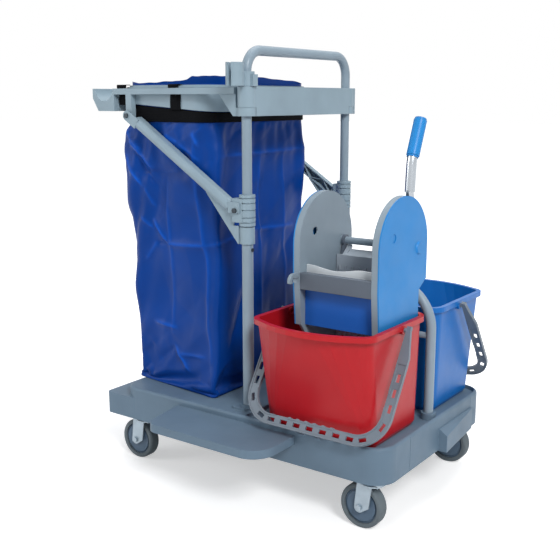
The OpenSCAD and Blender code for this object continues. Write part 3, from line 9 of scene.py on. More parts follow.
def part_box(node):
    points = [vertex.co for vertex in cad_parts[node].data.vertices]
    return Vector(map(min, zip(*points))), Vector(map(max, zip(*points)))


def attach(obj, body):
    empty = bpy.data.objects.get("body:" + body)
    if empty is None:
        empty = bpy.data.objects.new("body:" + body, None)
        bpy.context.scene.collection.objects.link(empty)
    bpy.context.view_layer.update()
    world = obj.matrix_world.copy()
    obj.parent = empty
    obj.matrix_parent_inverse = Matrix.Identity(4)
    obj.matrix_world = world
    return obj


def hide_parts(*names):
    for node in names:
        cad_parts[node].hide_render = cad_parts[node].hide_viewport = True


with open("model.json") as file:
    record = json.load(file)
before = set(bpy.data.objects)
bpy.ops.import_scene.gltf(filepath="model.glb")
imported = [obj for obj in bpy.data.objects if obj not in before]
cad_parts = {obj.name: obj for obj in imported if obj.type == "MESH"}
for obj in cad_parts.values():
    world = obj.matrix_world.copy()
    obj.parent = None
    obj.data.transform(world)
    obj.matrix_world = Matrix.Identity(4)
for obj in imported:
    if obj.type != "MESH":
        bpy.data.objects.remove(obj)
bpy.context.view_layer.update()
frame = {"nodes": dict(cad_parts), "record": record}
scene = bpy.context.scene
MM = 0.001


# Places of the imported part. The cart's own frame has its origin under the middle of the base, in millimetres.

def box_mm(node):
    """Low and high corner of a node's box, in millimetres."""
    low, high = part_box(node)
    return np.array(low) / MM, np.array(high) / MM


# How far each wheel stands from its kingpin
TRAIL = 22
HUBS = ("front_left_hub", "front_right_hub", "rear_left_hub", "rear_right_hub")
HOME = np.mean([np.mean(box_mm(hub), axis=0) for hub in HUBS], axis=0) + [TRAIL, 0, 0]
HOME[2] = 0
RING_LOW, RING_HIGH = (corner - HOME for corner in box_mm("bag_ring"))
BAG_LOW, BAG_HIGH = (corner - HOME for corner in box_mm("bag"))
BAND_LOW = (box_mm("bag_straps")[0] - HOME)[2]
RAIL_TOP = (box_mm("bag_frame")[1] - HOME)[2]


# Finishes

def linear(code):
    """A hex colour as the eye sees it, in the scene's linear light."""
    parts = [int(code[i:i + 2], 16) / 255 for i in (1, 3, 5)]
    return [c / 12.92 if c <= 0.04045 else ((c + 0.055) / 1.055) ** 2.4 for c in parts] + [1]


def add(tree, kind, links=None, **values):
    """Adds a node, sets its properties and sockets, and links its inputs."""
    node = tree.nodes.new(kind)
    for key, value in values.items():
        if hasattr(node, key):
            setattr(node, key, value)
        else:
            node.inputs[key.replace("_", " ")].default_value = value
    for name, source in (links or {}).items():
        tree.links.new(source, node.inputs[name])
    return node


def surface(name, code, rough, metal=0.0, grain_mm=1.0, grain=0.1, cloud_mm=90.0, cloud=0.06, smudge=0.06,
            round_mm=1.2, edge_scuff_and_highlight=0.0, coat=0.0, specular=0.24, crease=False, weave=False):
    """A finish with a soft cloud in its colour, pale edges that are partly scuffs and partly a painted highlight, a
    painted highlight along raised creases where asked, smudges in its gloss and grain in its relief.
    """
    material = bpy.data.materials.new(name)
    material.use_nodes = True
    tree = material.node_tree
    tree.nodes.clear()
    place = add(tree, "ShaderNodeTexCoord").outputs["Object"]
    cloud_tex = add(tree, "ShaderNodeTexNoise", {"Vector": place}, Scale=1 / (cloud_mm * MM), Detail=3.0)
    shade = add(tree, "ShaderNodeMapRange", {"Value": cloud_tex.outputs["Fac"]},
                From_Min=0.3, From_Max=0.7, To_Min=1 - cloud, To_Max=1 + cloud)
    smudge_tex = add(tree, "ShaderNodeTexNoise", {"Vector": place}, Scale=1 / (0.4 * cloud_mm * MM), Detail=5.0)
    gloss = add(tree, "ShaderNodeMapRange", {"Value": smudge_tex.outputs["Fac"]},
                From_Min=0.3, From_Max=0.7, To_Min=rough - smudge, To_Max=rough + smudge)
    edge = add(tree, "ShaderNodeBevel", samples=4, Radius=round_mm * MM)
    level = shade.outputs["Result"]
    # Pale edges: partly scuffs, partly a highlight painted on every rounded edge whatever the light
    if edge_scuff_and_highlight:
        flat = add(tree, "ShaderNodeNewGeometry").outputs["Normal"]
        turn = add(tree, "ShaderNodeVectorMath", {0: edge.outputs["Normal"], 1: flat}, operation="DOT_PRODUCT")
        scuff_and_highlight_mask = add(tree, "ShaderNodeMapRange", {"Value": turn.outputs["Value"]},
                  From_Min=0.8, From_Max=1.0, To_Min=edge_scuff_and_highlight, To_Max=0.0)
        level = add(tree, "ShaderNodeMath", {0: scuff_and_highlight_mask.outputs["Result"], 1: smudge_tex.outputs["Fac"], 2: level},
                    operation="MULTIPLY_ADD").outputs["Value"]
    # Painted highlight: colour made paler along the raised creases
    if crease:
        line = add(tree, "ShaderNodeAttribute", attribute_name="crease").outputs["Fac"]
        level = add(tree, "ShaderNodeMath", {0: line, 1: smudge_tex.outputs["Fac"], 2: level},
                    operation="MULTIPLY_ADD").outputs["Value"]
    tint = add(tree, "ShaderNodeVectorMath", {"Scale": level}, operation="SCALE")
    tint.inputs[0].default_value = linear(code)[:3]
    if weave:
        warp, weft = (add(tree, "ShaderNodeTexWave", {"Vector": place}, bands_direction=way,
                          Scale=math.pi / (10 * grain_mm * MM)).outputs["Fac"] for way in "XZ")
        skin = add(tree, "ShaderNodeMath", {0: warp, 1: weft}, operation="MULTIPLY").outputs["Value"]
    else:
        skin = add(tree, "ShaderNodeTexNoise", {"Vector": place}, Scale=1 / (grain_mm * MM),
                   Detail=2.0).outputs["Fac"]
    relief = add(tree, "ShaderNodeBump", {"Height": skin, "Normal": edge.outputs["Normal"]},
                 Strength=grain, Distance=0.3 * grain_mm * MM)
    shader = add(tree, "ShaderNodeBsdfPrincipled",
                 {"Base Color": tint.outputs["Vector"], "Roughness": gloss.outputs["Result"],
                  "Normal": relief.outputs["Normal"]},
                 Metallic=metal, Coat_Weight=coat, Coat_Roughness=0.1, Specular_IOR_Level=specular)
    add(tree, "ShaderNodeOutputMaterial", {"Surface": shader.outputs["BSDF"]})
    return material


FINISHES = {
    # Moulded polypropylene of the chassis: a dry slate skin with fine grain, its edges pale from scuffs and a painted
    # highlight
    "base_plastic": surface("slate moulded polypropylene", "#64798b", 0.50, grain_mm=0.9, grain=0.25, round_mm=2.0,
                            edge_scuff_and_highlight=0.5),
    # Moulded polypropylene of frame, ring and struts: smoother and lighter, with a satin gloss, its round edges pale
    # from scuffs and a painted highlight
    "grey_plastic": surface("light slate moulded polypropylene", "#8ca0ac", 0.42, grain_mm=0.8, grain=0.15,
                            round_mm=1.5, edge_scuff_and_highlight=0.15),
    # Moulded nylon of the bails: a darker slate with a soft gloss, its edges worn pale by hands and given a painted
    # highlight
    "bail_nylon": surface("dark slate moulded nylon", "#707b86", 0.40, grain_mm=0.8, grain=0.1, round_mm=1.0,
                          edge_scuff_and_highlight=0.5),
    # Powder coat on steel tube: faint orange peel under a soft gloss
    "coated_steel": surface("grey powder coat", "#8798a5", 0.36, grain_mm=2.2, grain=0.12, cloud=0.03, coat=0.1),
    # Black zinc on screws and bolts: small dark accents with a dull shine
    "dark_screw": surface("black zinc screws", "#3a4046", 0.42, metal=0.6, round_mm=0.5),
    # Zinc plate on pressed steel: pale, streaky and half bright
    "zinc_steel": surface("zinc plated pressed steel", "#a3b1bb", 0.34, metal=0.55, grain_mm=0.6, cloud_mm=30,
                          cloud=0.08, round_mm=0.8),
    # Moulded nylon wheel centre: darker than the chassis, smooth, its edges pale from scuffs and a painted highlight
    "hub_plastic": surface("moulded nylon wheel centre", "#566a7e", 0.42, grain_mm=0.7, round_mm=0.8, edge_scuff_and_highlight=0.3),
    # Grey rubber tyre: dull, with the rub of the floor on it
    "tyre_rubber": surface("grey tyre rubber", "#656f75", 0.72, grain_mm=1.2, grain=0.3, cloud=0.12, smudge=0.1,
                           round_mm=1.5),
    # Red polypropylene bucket: a clean moulding with a broad gloss, its edges a little pale from scuffs and a painted
    # highlight
    "red_plastic": surface("red moulded polypropylene", "#b3151f", 0.34, grain_mm=1.5, grain=0.05, cloud=0.04,
                           round_mm=1.5, edge_scuff_and_highlight=0.15),
    # Blue polypropylene bucket: the same gloss in mid blue, with the same pale edges from scuffs and a painted
    # highlight
    "blue_plastic": surface("blue moulded polypropylene", "#0f69b8", 0.34, grain_mm=1.5, grain=0.05, cloud=0.04,
                            round_mm=1.5, edge_scuff_and_highlight=0.15),
    # ABS covers and lever grip: a lighter satin blue
    "cover_blue": surface("blue moulded ABS", "#2581c6", 0.38, grain_mm=1.0, grain=0.08, cloud=0.04, round_mm=1.5),
    # Front jaw: the same ABS coloured a deeper blue
    "jaw_blue": surface("deep blue moulded ABS", "#2363be", 0.38, grain_mm=1.0, grain=0.08, cloud=0.04, round_mm=1.5),
    # Side plates and shaft of the wringer: moulded polypropylene a tone darker than the frame, partly a grey of their
    # own and partly painted shade for the plates' flanges; edges pale from scuffs and a painted highlight
    "plate_grey": surface("mid slate polypropylene with painted shade", "#84939f", 0.42, grain_mm=0.8, grain=0.15, round_mm=1.5,
                          edge_scuff_and_highlight=0.15),
    # Front rail and cranks: moulded nylon, darker than the plates, its edges pale from scuffs and a painted highlight
    "rail_grey": surface("grey moulded nylon", "#5a636f", 0.42, grain_mm=0.8, round_mm=1.2, edge_scuff_and_highlight=0.3),
    # Rear jaw: moulded polypropylene in a dry pale grey
    "jaw_grey": surface("pale grey moulded polypropylene", "#acb6c0", 0.44, grain_mm=0.9, round_mm=1.2),
    # Wavy lip: almost white polyethylene, wiped clean
    "pale_plastic": surface("pale moulded polyethylene", "#d3d9dd", 0.40, grain_mm=1.0, grain=0.08, cloud=0.03,
                            round_mm=1.2),
    # Polished steel of lever, pins and rods: bright with soft streaks
    "bright_steel": surface("polished steel", "#b4bac0", 0.26, metal=1.0, grain_mm=6.0, grain=0.01, cloud=0.04,
                            smudge=0.04, round_mm=0.3),
    # Vinyl-coated cloth of the bag: deep blue with a sliding sheen, and a highlight painted along every raised fold
    "bag_vinyl": surface("blue vinyl coated cloth", "#043b8a", 0.40, grain_mm=1.1, grain=0.10, cloud_mm=140,
                         cloud=0.12, smudge=0.08, round_mm=0.3, specular=0.12, crease=True),
    # Woven polypropylene webbing: flat black and dry, its 2 mm ribs drawn at 4 mm so that they show
    "strap_black": surface("black woven webbing", "#0c0d10", 0.75, grain_mm=4.0, grain=0.6, cloud=0.1, round_mm=0.4,
                           specular=0.05, weave=True),
}

# Pieces whose finish differs from the rest of their slot
SPECIAL = {"red_bail": "bail_nylon", "blue_bail": "bail_nylon", "wringer_front_jaw": "jaw_blue",
           "wringer_left_plate": "plate_grey", "wringer_right_plate": "plate_grey", "wringer_shaft": "plate_grey"}
for part in frame["record"]["subparts"]:
    node = frame["nodes"][part["node"]]
    node.data.materials.clear()
    node.data.materials.append(FINISHES[SPECIAL.get(part["node"], part["material_slot"])])


def piece(name, points, faces, slot):
    """A smooth mesh that rides on the cart, from points in the cart's millimetres."""
    mesh = bpy.data.meshes.new(name)
    mesh.from_pydata([tuple(p) for p in (np.asarray(points) + HOME) * MM], [], faces)
    mesh.validate()
    mesh.update()
    mesh.materials.append(FINISHES[slot])
    for face in mesh.polygons:
        face.use_smooth = True
    obj = bpy.data.objects.new(name, mesh)
    scene.collection.objects.link(obj)
    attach(obj, "cart")
    return obj


def grid_faces(rows, columns):
    """Faces of a grid whose columns close on themselves."""
    return [(i * columns + j, i * columns + (j + 1) % columns,
             (i + 1) * columns + (j + 1) % columns, (i + 1) * columns + j)
            for i in range(rows - 1) for j in range(columns)]


def plan(x0, x1, half, radius, count):
    """Points evenly spaced round a rectangle with round corners, from the near left corner on."""
    corner = math.pi / 2 * radius
    runs = 2 * [x1 - x0 - 2 * radius, corner, 2 * half - 2 * radius, corner]
    starts = np.concatenate([[0], np.cumsum(runs)])
    centres = [(x1 - radius, radius - half), (x1 - radius, half - radius),
               (x0 + radius, half - radius), (x0 + radius, radius - half)]
    out = []
    for s in np.arange(count) * starts[-1] / count:
        k = min(int(np.searchsorted(starts, s, side="right")) - 1, 7)
        side, t = k // 2, s - starts[k]
        angle = (side - 1) * math.pi / 2
        if k % 2:
            angle += t / radius
            back = 0
        else:
            back = runs[k] - t
        out.append((centres[side][0] + radius * math.cos(angle) + back * math.sin(angle),
                    centres[side][1] + radius * math.sin(angle) - back * math.cos(angle)))
    return np.array(out)


# Bag

DECK = BAG_LOW[2]
ROWS, COLUMNS, SOLE_RINGS = 96, 168, 8
# Mouth of the bag: its two ends, a little inside the ring's lip, and half its width
LIP_TO_MOUTH = 13
MOUTH = [RING_LOW[0] + LIP_TO_MOUTH, RING_HIGH[0] - LIP_TO_MOUTH, 198.4]
# Room between the struts, to each side of the middle, and the height from which they stand beside the bag
STRUT_CLEAR, CLAMP_LOW = 201.5, 560
BAG_REACH = [BAG_LOW[0] - 2, BAG_HIGH[0] + 8]
# Sides of the bag against its mouth, by height: the end handle side and the long sides stand in by these sizes, and
# the post side stands out. The last list is the corner radius.
HANDLE_SIDE = [(195, -4), (401, 0), (552, -10), (663, -27), (736, -40), (790, -41), (820, -36), (836, -16),
               (844, 0)]
POST_SIDE = [(195, 2), (300, 6), (500, 10), (780, 8), (842, 0)]
LONG_SIDE = [(195, 12), (420, 14), (700, 12), (800, 8), (842, 1), (860, 0)]
CORNER = [(195, 10), (420, 13), (650, 18), (780, 28), (842, 44), (890, 46)]
# Turn of the near side's foot on the deck: where it starts, how far its two ends move and at which half width
TWIST_TOP, FOOT_TWIST, FOOT_HALF = 440, (12, -16), 180
# Seed of the slack and the folds, so that every run gives the same bag
SEED = 11
# Slack of the cloth before it hangs: how far it strays, and over which length
SLACK, SLACK_LENGTH = 4, 110
# Height from which the cuff's edge is lifted
CUFF_START = 900
# Height of the cuff's edge, by the share of the way round from the near side's left end
CUFF = [(0, 931), (0.14, 930), (0.3, 931), (0.44, 933), (0.5, 942), (0.6, 955), (0.67, 959), (0.75, 957),
        (0.782, 955), (0.795, 947), (0.82, 943), (0.94, 934), (0.97, 939), (1, 931)]
# Share of a crease's rise and width that shows, and the rise and width of the highlight line painted along it
CREASE_LIFT, CREASE_SPREAD = 1.1, 0.7
HIGHLIGHT_RISE, HIGHLIGHT_W = 4, 4
# Creases of the cloth: start, end, rise and width
CREASES = [
    ((-262, -197, 556), (-140, -197, 562), 7, 9), ((-140, -197, 562), (-116, -101, 580), 5, 9),
    ((-116, -101, 578), (-116, -36, 586), 4, 8), ((-116, -36, 586), (-116, 126, 579), 5, 8),
    ((-305, -197, 610), (-261, -197, 562), 7, 10), ((-342, -197, 619), (-305, -197, 592), 5, 8),
    ((-334, -197, 509), (-299, -197, 556), 5, 10), ((-299, -197, 556), (-262, -197, 556), -5, 11),
    ((-319, -197, 352), (-249, -197, 347), 6, 9), ((-254, -197, 300), (-207, -197, 243), 7, 8),
    ((-243, -197, 282), (-154, -197, 291), 5, 9), ((-320, -197, 250), (-254, -197, 300), -5, 13),
    ((-371, -197, 800), (-339, -197, 777), 7, 10), ((-257, -197, 814), (-218, -197, 798), 7, 10),
    ((-218, -197, 798), (-157, -197, 760), 5, 11), ((-172, -197, 822), (-157, -197, 794), 7, 9),
    ((-358, -197, 722), (-220, -197, 728), -8, 24), ((-384, -190, 845), (-300, -197, 735), 7, 10),
    ((-375, -197, 790), (-290, -197, 690), -7, 13), ((-395, -180, 760), (-340, -197, 690), 7, 10),
    ((-330, -197, 690), (-300, -197, 640), 4, 11), ((-255, -197, 700), (-262, -197, 329), 3, 6),
    ((-136, -197, 840), (-130, -197, 260), 4, 7), ((-116, -167, 768), (-116, 172, 774), 5, 10),
    ((-116, -19, 770), (-118, -22, 340), 3, 6), ((-116, 80, 770), (-118, 86, 300), 3, 6),
    ((-116, -150, 300), (-116, -60, 480), -9, 32), ((-384, -120, 560), (-384, 130, 572), 5, 9),
    ((-384, 20, 820), (-375, 10, 230), 3, 6), ((-384, -90, 350), (-384, 120, 342), 5, 9),
    ((-384, -110, 760), (-384, 90, 720), -7, 19), ((-340, 197, 560), (-140, 197, 566), 5, 9),
    ((-330, 197, 350), (-200, 197, 344), 5, 9), ((-250, 197, 800), (-256, 197, 240), 3, 6),
    ((-330, 197, 780), (-220, 197, 740), -7, 18), ((-300, 197, 620), (-255, 197, 562), 5, 10),
    ((-210, 197, 300), (-160, 197, 240), 5, 10),
]


def by_height(z, steps):
    """The value at a height, between the steps of a list."""
    heights, values = zip(*steps)
    return float(np.interp(z, heights, values))


def bag_shell():
    """Rows of the slack bag from its cuff down to the deck, then rings of its sole."""
    sole_z, drawn_in = DECK + 1.2, 0.97
    shares, heights = zip(*CUFF)
    cuff = np.interp(np.arange(COLUMNS) / COLUMNS, shares, heights)
    levels = []
    for z in np.linspace(min(heights), sole_z, ROWS):
        ring = plan(MOUTH[0] + by_height(z, HANDLE_SIDE), MOUTH[1] + by_height(z, POST_SIDE),
                    MOUTH[2] - by_height(z, LONG_SIDE), by_height(z, CORNER), COLUMNS)
        twist = np.interp(ring[:, 0], MOUTH[:2], FOOT_TWIST) * np.clip(-ring[:, 1] / FOOT_HALF, 0, 1)
        ring[:, 1] += twist * np.clip((TWIST_TOP - z) / (TWIST_TOP - DECK), 0, 1)
        lift = (cuff - min(heights)) * np.clip((z - CUFF_START) / (min(heights) - CUFF_START), 0, 1)
        levels.append(np.column_stack([ring, z + lift]))
    foot = levels[-1]
    middle = foot.mean(axis=0)
    for k in range(1, SOLE_RINGS + 1):
        levels.append(middle + (foot - middle) * (1 - drawn_in * k / SOLE_RINGS))
    return np.array(levels)


def hang(shell):
    """Lets the slack cloth hang from its neck and stand on its sole, and returns where it settles."""
    levels, columns = shell.shape[:2]
    slack = shell.copy().reshape(-1, 3)
    loose = (slack[:, 2] < BAND_LOW - 2) & (slack[:, 2] > DECK + 4)
    noise.seed_set(SEED)
    for i in np.flatnonzero(loose):
        slack[i] += SLACK * np.array(noise.noise_vector(Vector(slack[i] / SLACK_LENGTH)))
    mesh = bpy.data.meshes.new("hanging")
    mesh.from_pydata([tuple(p) for p in slack * MM], [], grid_faces(levels, columns))
    cloth = bpy.data.objects.new("hanging", mesh)
    scene.collection.objects.link(cloth)
    held = cloth.vertex_groups.new(name="held")
    held.add([int(i) for i in np.flatnonzero(~loose)], 1.0, "REPLACE")
    drape = cloth.modifiers.new("drape", "CLOTH")
    vinyl = drape.settings
    vinyl.quality = 5
    vinyl.mass = 0.25
    vinyl.tension_stiffness = vinyl.compression_stiffness = 30
    vinyl.shear_stiffness = 20
    vinyl.bending_stiffness = 6
    vinyl.tension_damping = vinyl.compression_damping = 10
    vinyl.air_damping = 2
    vinyl.vertex_group_mass = "held"
    vinyl.shrink_min = -0.008
    vinyl.effector_weights.gravity = 0.3
    drape.collision_settings.use_collision = False
    frames = 12
    drape.point_cache.frame_start, drape.point_cache.frame_end = 1, frames
    for step in range(1, frames + 1):
        scene.frame_set(step)
    settled = bpy.data.meshes.new_from_object(cloth.evaluated_get(bpy.context.evaluated_depsgraph_get()))
    points = np.array([v.co for v in settled.vertices]) / MM
    bpy.data.objects.remove(cloth)
    scene.frame_set(1)
    return points.reshape(shell.shape)


def finer(grid, axis, closed):
    """Twice as many points along an axis, on smooth curves through the given ones."""
    lines = np.moveaxis(grid, axis, 0)
    count = len(lines)
    here = np.arange(count if closed else count - 1)

    def at(step):
        return lines[(here + step) % count] if closed else lines[np.clip(here + step, 0, count - 1)]

    between = (9 * at(0) + 9 * at(1) - at(-1) - at(2)) / 16
    out = np.empty((count + len(here),) + lines.shape[1:])
    out[0::2], out[1::2] = lines, between
    return np.moveaxis(out, 0, axis)


def crease_rise(spots, girth, nearest):
    """How far the named creases lift or sink each spot of the unrolled cloth, and how strong a highlight is painted
    along each raised line.
    """
    rise, ridge_highlight = np.zeros(len(spots)), np.zeros(len(spots))
    for start, end, height, width in CREASES:
        start, end = spots[nearest(start)], spots[nearest(end)]
        run = end - start
        run[0] -= girth * round(run[0] / girth)
        gap = spots - start
        gap[:, 0] -= girth * np.round((gap[:, 0] - run[0] / 2) / girth)
        t = np.clip(gap @ run / (run @ run), 0, 1)
        off = np.linalg.norm(gap - t[:, None] * run, axis=1)
        fade = np.clip(4 * np.minimum(t, 1 - t) + 0.3, 0, 1)
        rise += CREASE_LIFT * height * fade * np.exp(-off / (CREASE_SPREAD * width))
        ridge_highlight = np.maximum(ridge_highlight, max(height, 0) / HIGHLIGHT_RISE * fade * np.exp(-(off / HIGHLIGHT_W) ** 2))
    return rise, ridge_highlight


def crumple(spots, girth):
    """Crossing flat folds with sharp edges, as in a sheet that was kept folded."""
    folds, patch_h, pitch_h = 8, 310, 150
    rng = np.random.default_rng(SEED)
    rise = np.zeros(len(spots))
    for _ in range(folds):
        turns, tilt = int(rng.integers(2, 8)), rng.uniform(-1, 1)
        depth, phase, shift = rng.uniform(1.8, 4.2), rng.uniform(0, 1), rng.uniform(0, 1)
        lap = spots[:, 0] / girth
        share = 0.5 + 0.5 * np.sin(2 * math.pi * (2 * lap - spots[:, 1] / patch_h + shift))
        turn = turns * lap + tilt * spots[:, 1] / pitch_h + phase
        rise += depth * share * (4 * np.abs(turn - np.round(turn)) - 1)
    return rise


def soft_limit(value, low, high, room=6.0):
    """Keeps values between two limits, with a soft approach to each."""
    over = np.maximum(value - (high - room), 0)
    under = np.maximum(low + room - value, 0)
    return value - over + room * np.tanh(over / room) + under - room * np.tanh(under / room)


def make_bag():
    """The hanging bag, with its creases, its rippled cuff and its sole."""
    neck_lap, neck_run, foot_gap, foot_run = 4, 25, 3, 18
    cuff_run, ripple_rise, long_ripple, short_ripple = 8, 0.5, 87, 51
    grid = hang(bag_shell())
    grid = finer(finer(grid, 1, True), 0, False)
    levels, columns = grid.shape[:2]
    round_it = np.roll(grid, -1, axis=1) - np.roll(grid, 1, axis=1)
    out = np.cross(np.gradient(grid, axis=0), round_it)
    out /= np.maximum(np.linalg.norm(out, axis=2, keepdims=True), 1e-9)
    centre = grid[0].mean(axis=0)
    out *= np.sign(np.sum((grid - centre)[:levels // 2] * out[:levels // 2]))
    girth = float(np.linalg.norm(round_it, axis=2).mean() / 2 * columns)
    along = np.tile(np.arange(columns) * girth / columns, levels)
    flat = grid.reshape(-1, 3)
    spots = np.column_stack([along, flat[:, 2]])

    def nearest(place):
        return int(np.argmin(np.linalg.norm(flat - np.array(place, float), axis=1)))

    rise, ridge_highlight = crease_rise(spots, girth, nearest)
    rise = (rise + crumple(spots, girth)).reshape(levels, columns)
    height = grid[:, :, 2]
    fade = np.clip((BAND_LOW + neck_lap - height) / neck_run, 0, 1)
    fade *= np.clip((height - DECK - foot_gap) / foot_run, 0, 1)
    fade[2 * ROWS - 1:] = 0
    grid = grid + out * (rise * fade)[:, :, None]
    cuff = np.clip((height - RING_HIGH[2]) / cuff_run, 0, 1)
    ripple = np.sin(along * 2 * math.pi / long_ripple) + np.sin(along * 2 * math.pi / short_ripple + 1)
    grid[:, :, 2] += ripple_rise * cuff * ripple.reshape(levels, columns)
    grid[:, :, 0] = soft_limit(grid[:, :, 0], *BAG_REACH)
    beside = height > CLAMP_LOW
    grid[beside, 1] = soft_limit(grid[beside, 1], -STRUT_CLEAR, STRUT_CLEAR, room=2.0)
    faces = grid_faces(levels, columns)
    faces.append(tuple(range((levels - 1) * columns, levels * columns)))
    bag = piece("bag_cloth", grid.reshape(-1, 3), faces, "bag_vinyl")
    # Point attribute that carries the highlight painted along the raised creases
    crease_shine = bag.data.attributes.new("crease", "FLOAT", "POINT")
    crease_shine.data.foreach_set("value", (ridge_highlight * fade.reshape(-1)).astype(np.float32))
    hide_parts("bag")


# Straps, and the neck band that is partly painted shade

STRAP_W, STRAP_T, STRAP_BEND = 32, 1.6, 1.6
# How far a strap's ends reach in under and over the ring
STRAP_END = 5.5
# Middle of each pair of straps, from the ring's end at the end handle
STRAP_PLACES = {"handle": 17, "middle": 181}
RAIL_H = 14
RAIL_IN = -np.mean(box_mm("front_lower_post"), axis=0)[1] + HOME[1]
RAIL_LOW = RAIL_TOP - RAIL_H
SEAT = 0.3
# How much higher the ring's foot is at the end handle than at the posts
RING_SLANT = 20
# Room of the neck band round the mouth, its corner radius and its gap to the ring's foot
BAND_ROOM, BAND_R, BAND_GAP = 1.8, 46, 2


def rounded_path(corners, radius, steps):
    """Points along a path whose corners are rounded."""
    out = [np.array(corners[0], float)]
    for before, here, after in zip(corners, corners[1:], corners[2:]):
        before, here, after = (np.array(p, float) for p in (before, here, after))
        first = here + radius * (before - here) / np.linalg.norm(before - here)
        last = here + radius * (after - here) / np.linalg.norm(after - here)
        for t in np.linspace(0, 1, steps):
            out.append((1 - t) ** 2 * first + 2 * t * (1 - t) * here + t ** 2 * last)
    out.append(np.array(corners[-1], float))
    return np.array(out)


def make_strap(name, x, side):
    """One strap over the ring's lip, down behind the rail and under the ring, with rolled edges."""
    half, edge = STRAP_W / 2, STRAP_T / 2
    share = (RING_HIGH[0] - x - half) / (RING_HIGH[0] - RING_LOW[0])
    low = RING_LOW[2] + RING_SLANT * share - 3 * edge
    top = RING_HIGH[2] + SEAT + edge
    lip, wall, slit = RING_HIGH[1] + SEAT + edge, RAIL_IN + edge, SEAT / 2
    end, behind, bow, free = RAIL_IN - STRAP_END, RAIL_IN - slit, 0.8, 5
    path = rounded_path([(end, top), (lip, top), (lip, RAIL_TOP + slit), (behind, RAIL_TOP + slit),
                         (behind, RAIL_LOW), (wall, RAIL_LOW - free), (wall + bow, (RAIL_LOW + low) / 2),
                         (wall, low), (end, low)], STRAP_BEND, 4)
    squeezed = (path[:, 1] < RAIL_TOP + 1) & (path[:, 1] > RAIL_LOW - 2)
    thick = np.where(squeezed, SEAT / 3 / STRAP_T, 1)
    along = np.gradient(path, axis=0)
    across = np.column_stack([along[:, 1], -along[:, 0]]) / np.linalg.norm(along, axis=1)[:, None]
    section = [(-half + edge, edge), (0, edge), (half - edge, edge), (half, 0),
               (half - edge, -edge), (0, -edge), (-half + edge, -edge), (-half, 0)]
    points = [(x + u, side * (p[0] + v * k * n[0]), p[1] + v * k * n[1])
              for p, n, k in zip(path, across, thick) for u, v in section]
    size = len(section)
    faces = grid_faces(len(path), size)
    faces.append(tuple(range(size)))
    faces.append(tuple(reversed(range((len(path) - 1) * size, len(path) * size))))
    if side > 0:
        faces = [tuple(reversed(face)) for face in faces]
    strap = piece(name, points, faces, "strap_black")
    return strap


def make_band_and_shade():
    """The black band round the bag's neck, up to the slanted foot of the ring; it also stands in for the deep shade
    under the ring.
    """
    inner = plan(MOUTH[0] - BAND_ROOM, MOUTH[1] + BAND_ROOM, MOUTH[2] + BAND_ROOM, BAND_R, COLUMNS)
    outer = plan(MOUTH[0] - BAND_ROOM - STRAP_T, MOUTH[1] + BAND_ROOM + STRAP_T, MOUTH[2] + BAND_ROOM + STRAP_T,
                 BAND_R + 1, COLUMNS)
    share = (RING_HIGH[0] - inner[:, 0]) / (RING_HIGH[0] - RING_LOW[0])
    top = RING_LOW[2] + RING_SLANT * share - BAND_GAP
    middle = (inner + outer) / 2
    section = ((outer, 0.06), (outer, 0.5), (outer, 0.94), (middle, 1.0), (inner, 0.94), (inner, 0.06), (middle, 0.0))
    band = np.array([np.column_stack([line, BAND_LOW + (top - BAND_LOW) * t]) for line, t in section])
    size = len(band)
    faces = [tuple(corner % (size * COLUMNS) for corner in face) for face in grid_faces(size + 1, COLUMNS)]
    neck = piece("neck_band_and_shade", band.reshape(-1, 3), faces, "strap_black")
    return neck


make_bag()
straps = [make_strap(f"strap_{name}_{side}", RING_LOW[0] + place, way)
          for name, place in STRAP_PLACES.items()
          for side, way in (("near", -1), ("far", 1))]
for webbing in straps + [make_band_and_shade()]:
    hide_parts("bag_straps")


# Studio

def shown(tree):
    """A factor that is 1 for what the camera sees straight on, in a mirror or through glass."""
    ray = add(tree, "ShaderNodeLightPath")
    seen = ray.outputs["Is Camera Ray"]
    for other in ("Is Glossy Ray", "Is Transmission Ray"):
        seen = add(tree, "ShaderNodeMath", {0: seen, 1: ray.outputs[other]}, operation="MAXIMUM").outputs["Value"]
    return seen


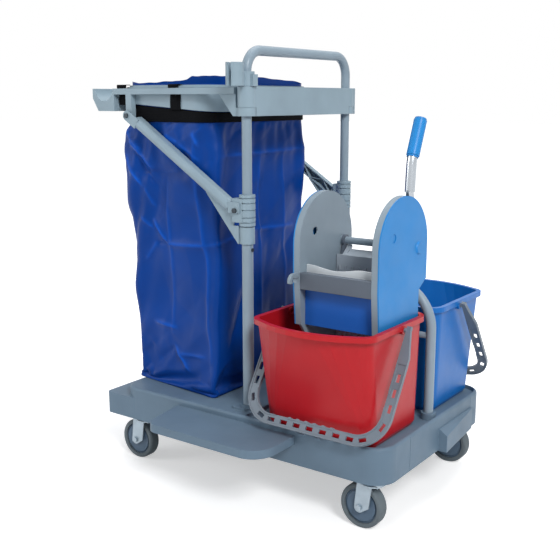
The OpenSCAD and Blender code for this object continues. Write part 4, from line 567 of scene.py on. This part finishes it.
def make_floor():
    """A wide white floor that keeps the shadow of the cart and brightens to plain white away from it."""
    size = 30.0
    mesh = bpy.data.meshes.new("floor")
    mesh.from_pydata([(-size, -size, 0), (size, -size, 0), (size, size, 0), (-size, size, 0)], [], [(0, 1, 2, 3)])
    floor = bpy.data.objects.new("floor", mesh)
    scene.collection.objects.link(floor)
    material = bpy.data.materials.new("matt white paint")
    material.use_nodes = True
    tree = material.node_tree
    tree.nodes.clear()
    plain = add(tree, "ShaderNodeBsdfDiffuse", Color=linear("#e7e7e7"))
    spot = add(tree, "ShaderNodeVectorMath", {0: add(tree, "ShaderNodeTexCoord").outputs["Object"]},
               operation="LENGTH")
    rim = add(tree, "ShaderNodeMapRange", {"Value": spot.outputs["Value"]},
              From_Min=0.4, From_Max=1.3, To_Min=0.48, To_Max=1.0)
    glow = add(tree, "ShaderNodeEmission", {"Strength": rim.outputs["Result"]}, Color=linear("#ffffff"))
    both = add(tree, "ShaderNodeAddShader", {0: plain.outputs["BSDF"], 1: glow.outputs["Emission"]})
    mix = add(tree, "ShaderNodeMixShader", {0: shown(tree), 1: plain.outputs["BSDF"], 2: both.outputs["Shader"]})
    add(tree, "ShaderNodeOutputMaterial", {"Surface": mix.outputs["Shader"]})
    mesh.materials.append(material)


def make_lamp(name, place, aim, size, power):
    """A soft rectangular lamp, in metres and watts, turned to what it lights."""
    light = bpy.data.lights.new(name, "AREA")
    light.shape = "RECTANGLE"
    light.size, light.size_y = size
    light.energy = power
    lamp = bpy.data.objects.new(name, light)
    lamp.location = place
    lamp.rotation_euler = (Vector(aim) - Vector(place)).to_track_quat("-Z", "Y").to_euler()
    scene.collection.objects.link(lamp)


def make_world():
    """Dim, slightly cool light from all round, behind a white backdrop."""
    world = bpy.data.worlds.new("studio")
    scene.world = world
    world.use_nodes = True
    tree = world.node_tree
    tree.nodes.clear()
    soft = add(tree, "ShaderNodeBackground", Color=linear("#f9fcff"), Strength=0.28)
    white = add(tree, "ShaderNodeBackground", Color=linear("#ffffff"), Strength=1.0)
    mix = add(tree, "ShaderNodeMixShader",
              {0: shown(tree), 1: soft.outputs["Background"], 2: white.outputs["Background"]})
    add(tree, "ShaderNodeOutputWorld", {"Surface": mix.outputs["Shader"]})


def make_camera():
    """The photograph's view: from the right of the near side, a little above."""
    place = np.array([1162.5, -1730.8, 895.4])
    down, turn = 11.66, 35.38
    data = bpy.data.cameras.new("camera")
    data.sensor_width = 36
    data.lens = 56.23
    camera = bpy.data.objects.new("camera", data)
    camera.location = (place + HOME) * MM
    camera.rotation_euler = (math.radians(90 - down), 0, math.radians(turn))
    scene.collection.objects.link(camera)
    scene.camera = camera


make_floor()
make_lamp("key", (2.95, -2.05, 3.0), (0, 0, 0.45), (1.2, 1.2), 126)
make_lamp("fill", (-2.6, -2.4, 1.7), (0, 0, 0.45), (1.6, 1.6), 35)
make_lamp("top", (0.0, 0.8, 3.8), (0, 0, 0.4), (3.0, 3.0), 70)
make_world()
make_camera()
scene.view_settings.view_transform = "Standard"
